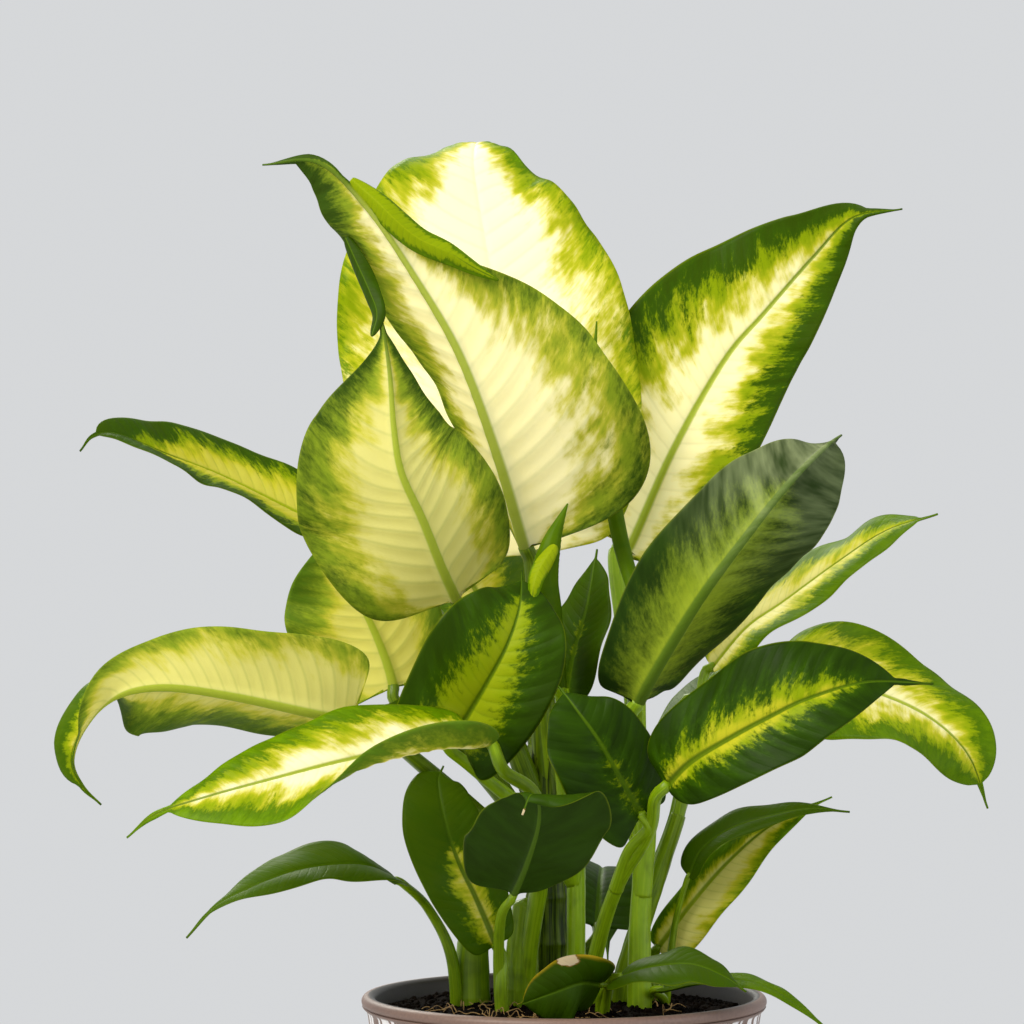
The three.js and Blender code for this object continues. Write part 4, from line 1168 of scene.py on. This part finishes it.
# Edges that turn over to the front, and the loose outer edge of a young leaf, each a narrow blade of its own
TURNED_EDGES = {
    "front_tall": [
        dict(rib=[[-84, -24, 469], [-73, -27, 459], [-66, -28, 452], [-57, -28, 445],
                  [-46, -28, 440], [-36, -27, 434], [-26, -26, 429]],
             faces=[[-0.2, -0.9, 0.3]], half=[5, 5], base=0.7, tip=0.9, pale=0.8, warm=0, deep=0.3),
        dict(rib=[[-87, -8, 447], [-82, -12, 436], [-77, -17, 425], [-74, -22, 416], [-76, -25, 407]],
             faces=[[-0.5, -0.85, 0.1]], half=[3.4, 4], base=0.6, tip=0.6, warm=0.5, deep=0.85),
    ],
    "centre_young": [
        dict(rib=[[-4, -43, 325], [-7, -46, 321], [-10, -48, 316], [-12, -50, 311], [-13, -51, 303]],
             faces=[[-0.2, -0.9, 0.2]], half=[3, 2.8], base=0.5, tip=0.6, pale=1, warm=0.05, deep=0.1),
    ],
}
EDGE_DEFAULTS = dict(
    end=1, lobe=0, fold=[-18, -18], curl=[-22, -22], wave=[0.08, 2, 0], sweep=0.1, stalk=[0.1, 0.1],
)


def turned_edges(name, settings):
    """The turned edges of one leaf: each is a blade's two faces around its own line. Their seeds start at
    400, so that their veins differ from those of most leaves."""
    edges = [{**LEAF_DEFAULTS, **EDGE_DEFAULTS, **values} for values in TURNED_EDGES.get(name, [])]
    return [blade_surface(edge, settings, 400 + number) for number, edge in enumerate(edges)]


class PLANT_OT_leaves(bpy.types.Operator):
    """Adds the open leaves, one piece each"""

    bl_idname = "plant.leaves"
    bl_label = "Open leaves"

    def execute(self, context):
        settings = context.scene.plant_leaves
        material = leaf_material(settings)
        # Seeds lie 31 apart, so that each leaf has veins and edge waves of its own
        for number, (name, values) in enumerate(LEAVES.items()):
            blade = blade_surface({**LEAF_DEFAULTS, **values}, settings, 31 * number + 5)
            surface = joined([blade, *turned_edges(name, settings)])
            node = "leaf_" + name
            make_piece("blade_" + name, surface, material, node)
        return {"FINISHED"}


def swell_of(base, widest, tip, belly):
    """Radius of a rolled leaf: a quarter of a sine wave from base up to widest at the share belly, and
    another one from there down to tip."""

    def radius(u):
        rising = base + (widest - base) * np.sin(np.pi / 2 * np.clip(u / belly, 0, 1))
        falling = tip + (widest - tip) * np.cos(np.pi / 2 * np.clip((u - belly) / (1 - belly), 0, 1))
        return np.where(u < belly, rising, falling)

    return radius


def rolled(u, turn):
    """The roll's outer edge stands out as a step that winds round it, over fine lines along it."""
    step = ((turn + 1.2 + 2.6 * u) % (2 * np.pi)) / (2 * np.pi)
    return 0.72 + 0.4 * step**2 + 0.012 * np.sin(9 * turn + 30 * u)


class PLANT_OT_young_leaves(bpy.types.Operator):
    """Adds the young leaves that are still rolled up"""

    bl_idname = "plant.young_leaves"
    bl_label = "Young leaves"

    def execute(self, context):
        settings = context.scene.plant_leaves
        material = bpy.data.materials.get("leaf_waxy_variegated") or leaf_material(settings)
        for number, (name, leaf) in enumerate(FURLED.items()):
            swell = swell_of(*leaf["radii"], leaf["belly"])
            roll = tube_surface(leaf["rib"], swell, 90, 72, 60 + number, (0, 0.3, 0.5), rolled, (0.5, 0.05))
            surface = joined([roll, *turned_edges(name, settings)])
            make_piece("rolled_" + name, surface, material, "leaf_" + name)
        return {"FINISHED"}


# The camera is level, 1.6 m in front of the pot's middle. Pixel (564, 994) of 1024 is the middle of the rim
CAMERA_PLACE = (-0.0208, -1.6, 0.3378)
CAMERA_LENS = 140.6
LIGHT_TARGET = Vector((-0.02, 0, 0.3))

# The floor lies a twentieth of a millimetre under the pot
FLOOR_LEVEL = -0.05


class PLANT_OT_stage(bpy.types.Operator):
    """Adds the floor, the lights and the camera"""

    bl_idname = "plant.stage"
    bl_label = "Stage"

    def execute(self, context):
        scene = context.scene
        settings = scene.plant_stage
        radii = np.linspace(1, 0, 24)[:-1] * settings.floor_radius / MM
        grid = turned_rows([[radius, FLOOR_LEVEL] for radius in radii], around(96))
        # The floor is open below: the first fan of faces is left out with its point
        points, (quads, _, middle) = closed_rings(grid, [[0, 0, FLOOR_LEVEL]] * 2)
        surface = (points[:-1], [quads, np.minimum(middle, len(points) - 2)])
        new_object("floor", surface, floor_material(settings))

        world = bpy.data.worlds.new("studio")
        world.use_nodes = True
        background = world.node_tree.nodes["Background"]
        background.inputs["Color"].default_value = settings.backdrop
        background.inputs["Strength"].default_value = 0.8
        scene.world = world
        scene.view_settings.view_transform = "Standard"

        for name, place, size, power, colour in (
            ("key", (-1.25, -1.15, 1.75), 1.3, settings.key_power, "#fff8ec"),
            ("back", (-0.7, 1.5, 1.5), 1.0, settings.back_power, "#fffdf2"),
            ("fill", (1.6, -0.8, 0.7), 1.2, settings.fill_power, "#f3f7ff"),
        ):
            lamp = bpy.data.lights.new(name, "AREA")
            lamp.energy = power
            lamp.size = size
            lamp.color = hex_colour(colour)[:3]
            holder = bpy.data.objects.new(name, lamp)
            holder.location = place
            holder.rotation_euler = (LIGHT_TARGET - Vector(place)).to_track_quat("-Z", "Y").to_euler()
            scene.collection.objects.link(holder)

        camera = bpy.data.objects.new("camera", bpy.data.cameras.new("camera"))
        camera.data.lens = CAMERA_LENS
        camera.data.sensor_width = 36
        camera.data.clip_end = 20
        camera.location = CAMERA_PLACE
        camera.rotation_euler = (math.radians(90), 0, 0)
        scene.collection.objects.link(camera)
        scene.camera = camera
        return {"FINISHED"}


OPERATORS = [
    PLANT_OT_stage, PLANT_OT_pot, PLANT_OT_soil, PLANT_OT_roots, PLANT_OT_stalks, PLANT_OT_leaves,
    PLANT_OT_young_leaves,
]


class PLANT_PT_panel(bpy.types.Panel):
    """Lists the parts of the plant and their settings"""

    bl_idname = "PLANT_PT_panel"
    bl_label = "Potted dieffenbachia"
    bl_space_type = "VIEW_3D"
    bl_region_type = "UI"
    bl_category = "Plant"

    def draw(self, context):
        for operator in OPERATORS:
            self.layout.operator(operator.bl_idname)
        for name, group in SETTINGS.items():
            box = self.layout.box()
            box.label(text=name.replace("plant_", "").capitalize())
            for key in group.__annotations__:
                box.prop(getattr(context.scene, name), key)


def register():
    for name, group in SETTINGS.items():
        bpy.utils.register_class(group)
        setattr(bpy.types.Scene, name, bpy.props.PointerProperty(type=group))
    for group in [*OPERATORS, PLANT_PT_panel]:
        bpy.utils.register_class(group)


def unregister():
    for group in [PLANT_PT_panel, *reversed(OPERATORS)]:
        bpy.utils.unregister_class(group)
    for name, group in reversed(SETTINGS.items()):
        delattr(bpy.types.Scene, name)
        bpy.utils.unregister_class(group)


def main():
    register()
    bpy.ops.plant.stage()
    bpy.ops.plant.pot()
    bpy.ops.plant.soil()
    bpy.ops.plant.roots()
    bpy.ops.plant.stalks()
    bpy.ops.plant.leaves()
    bpy.ops.plant.young_leaves()


if __name__ == "__main__":
    main()
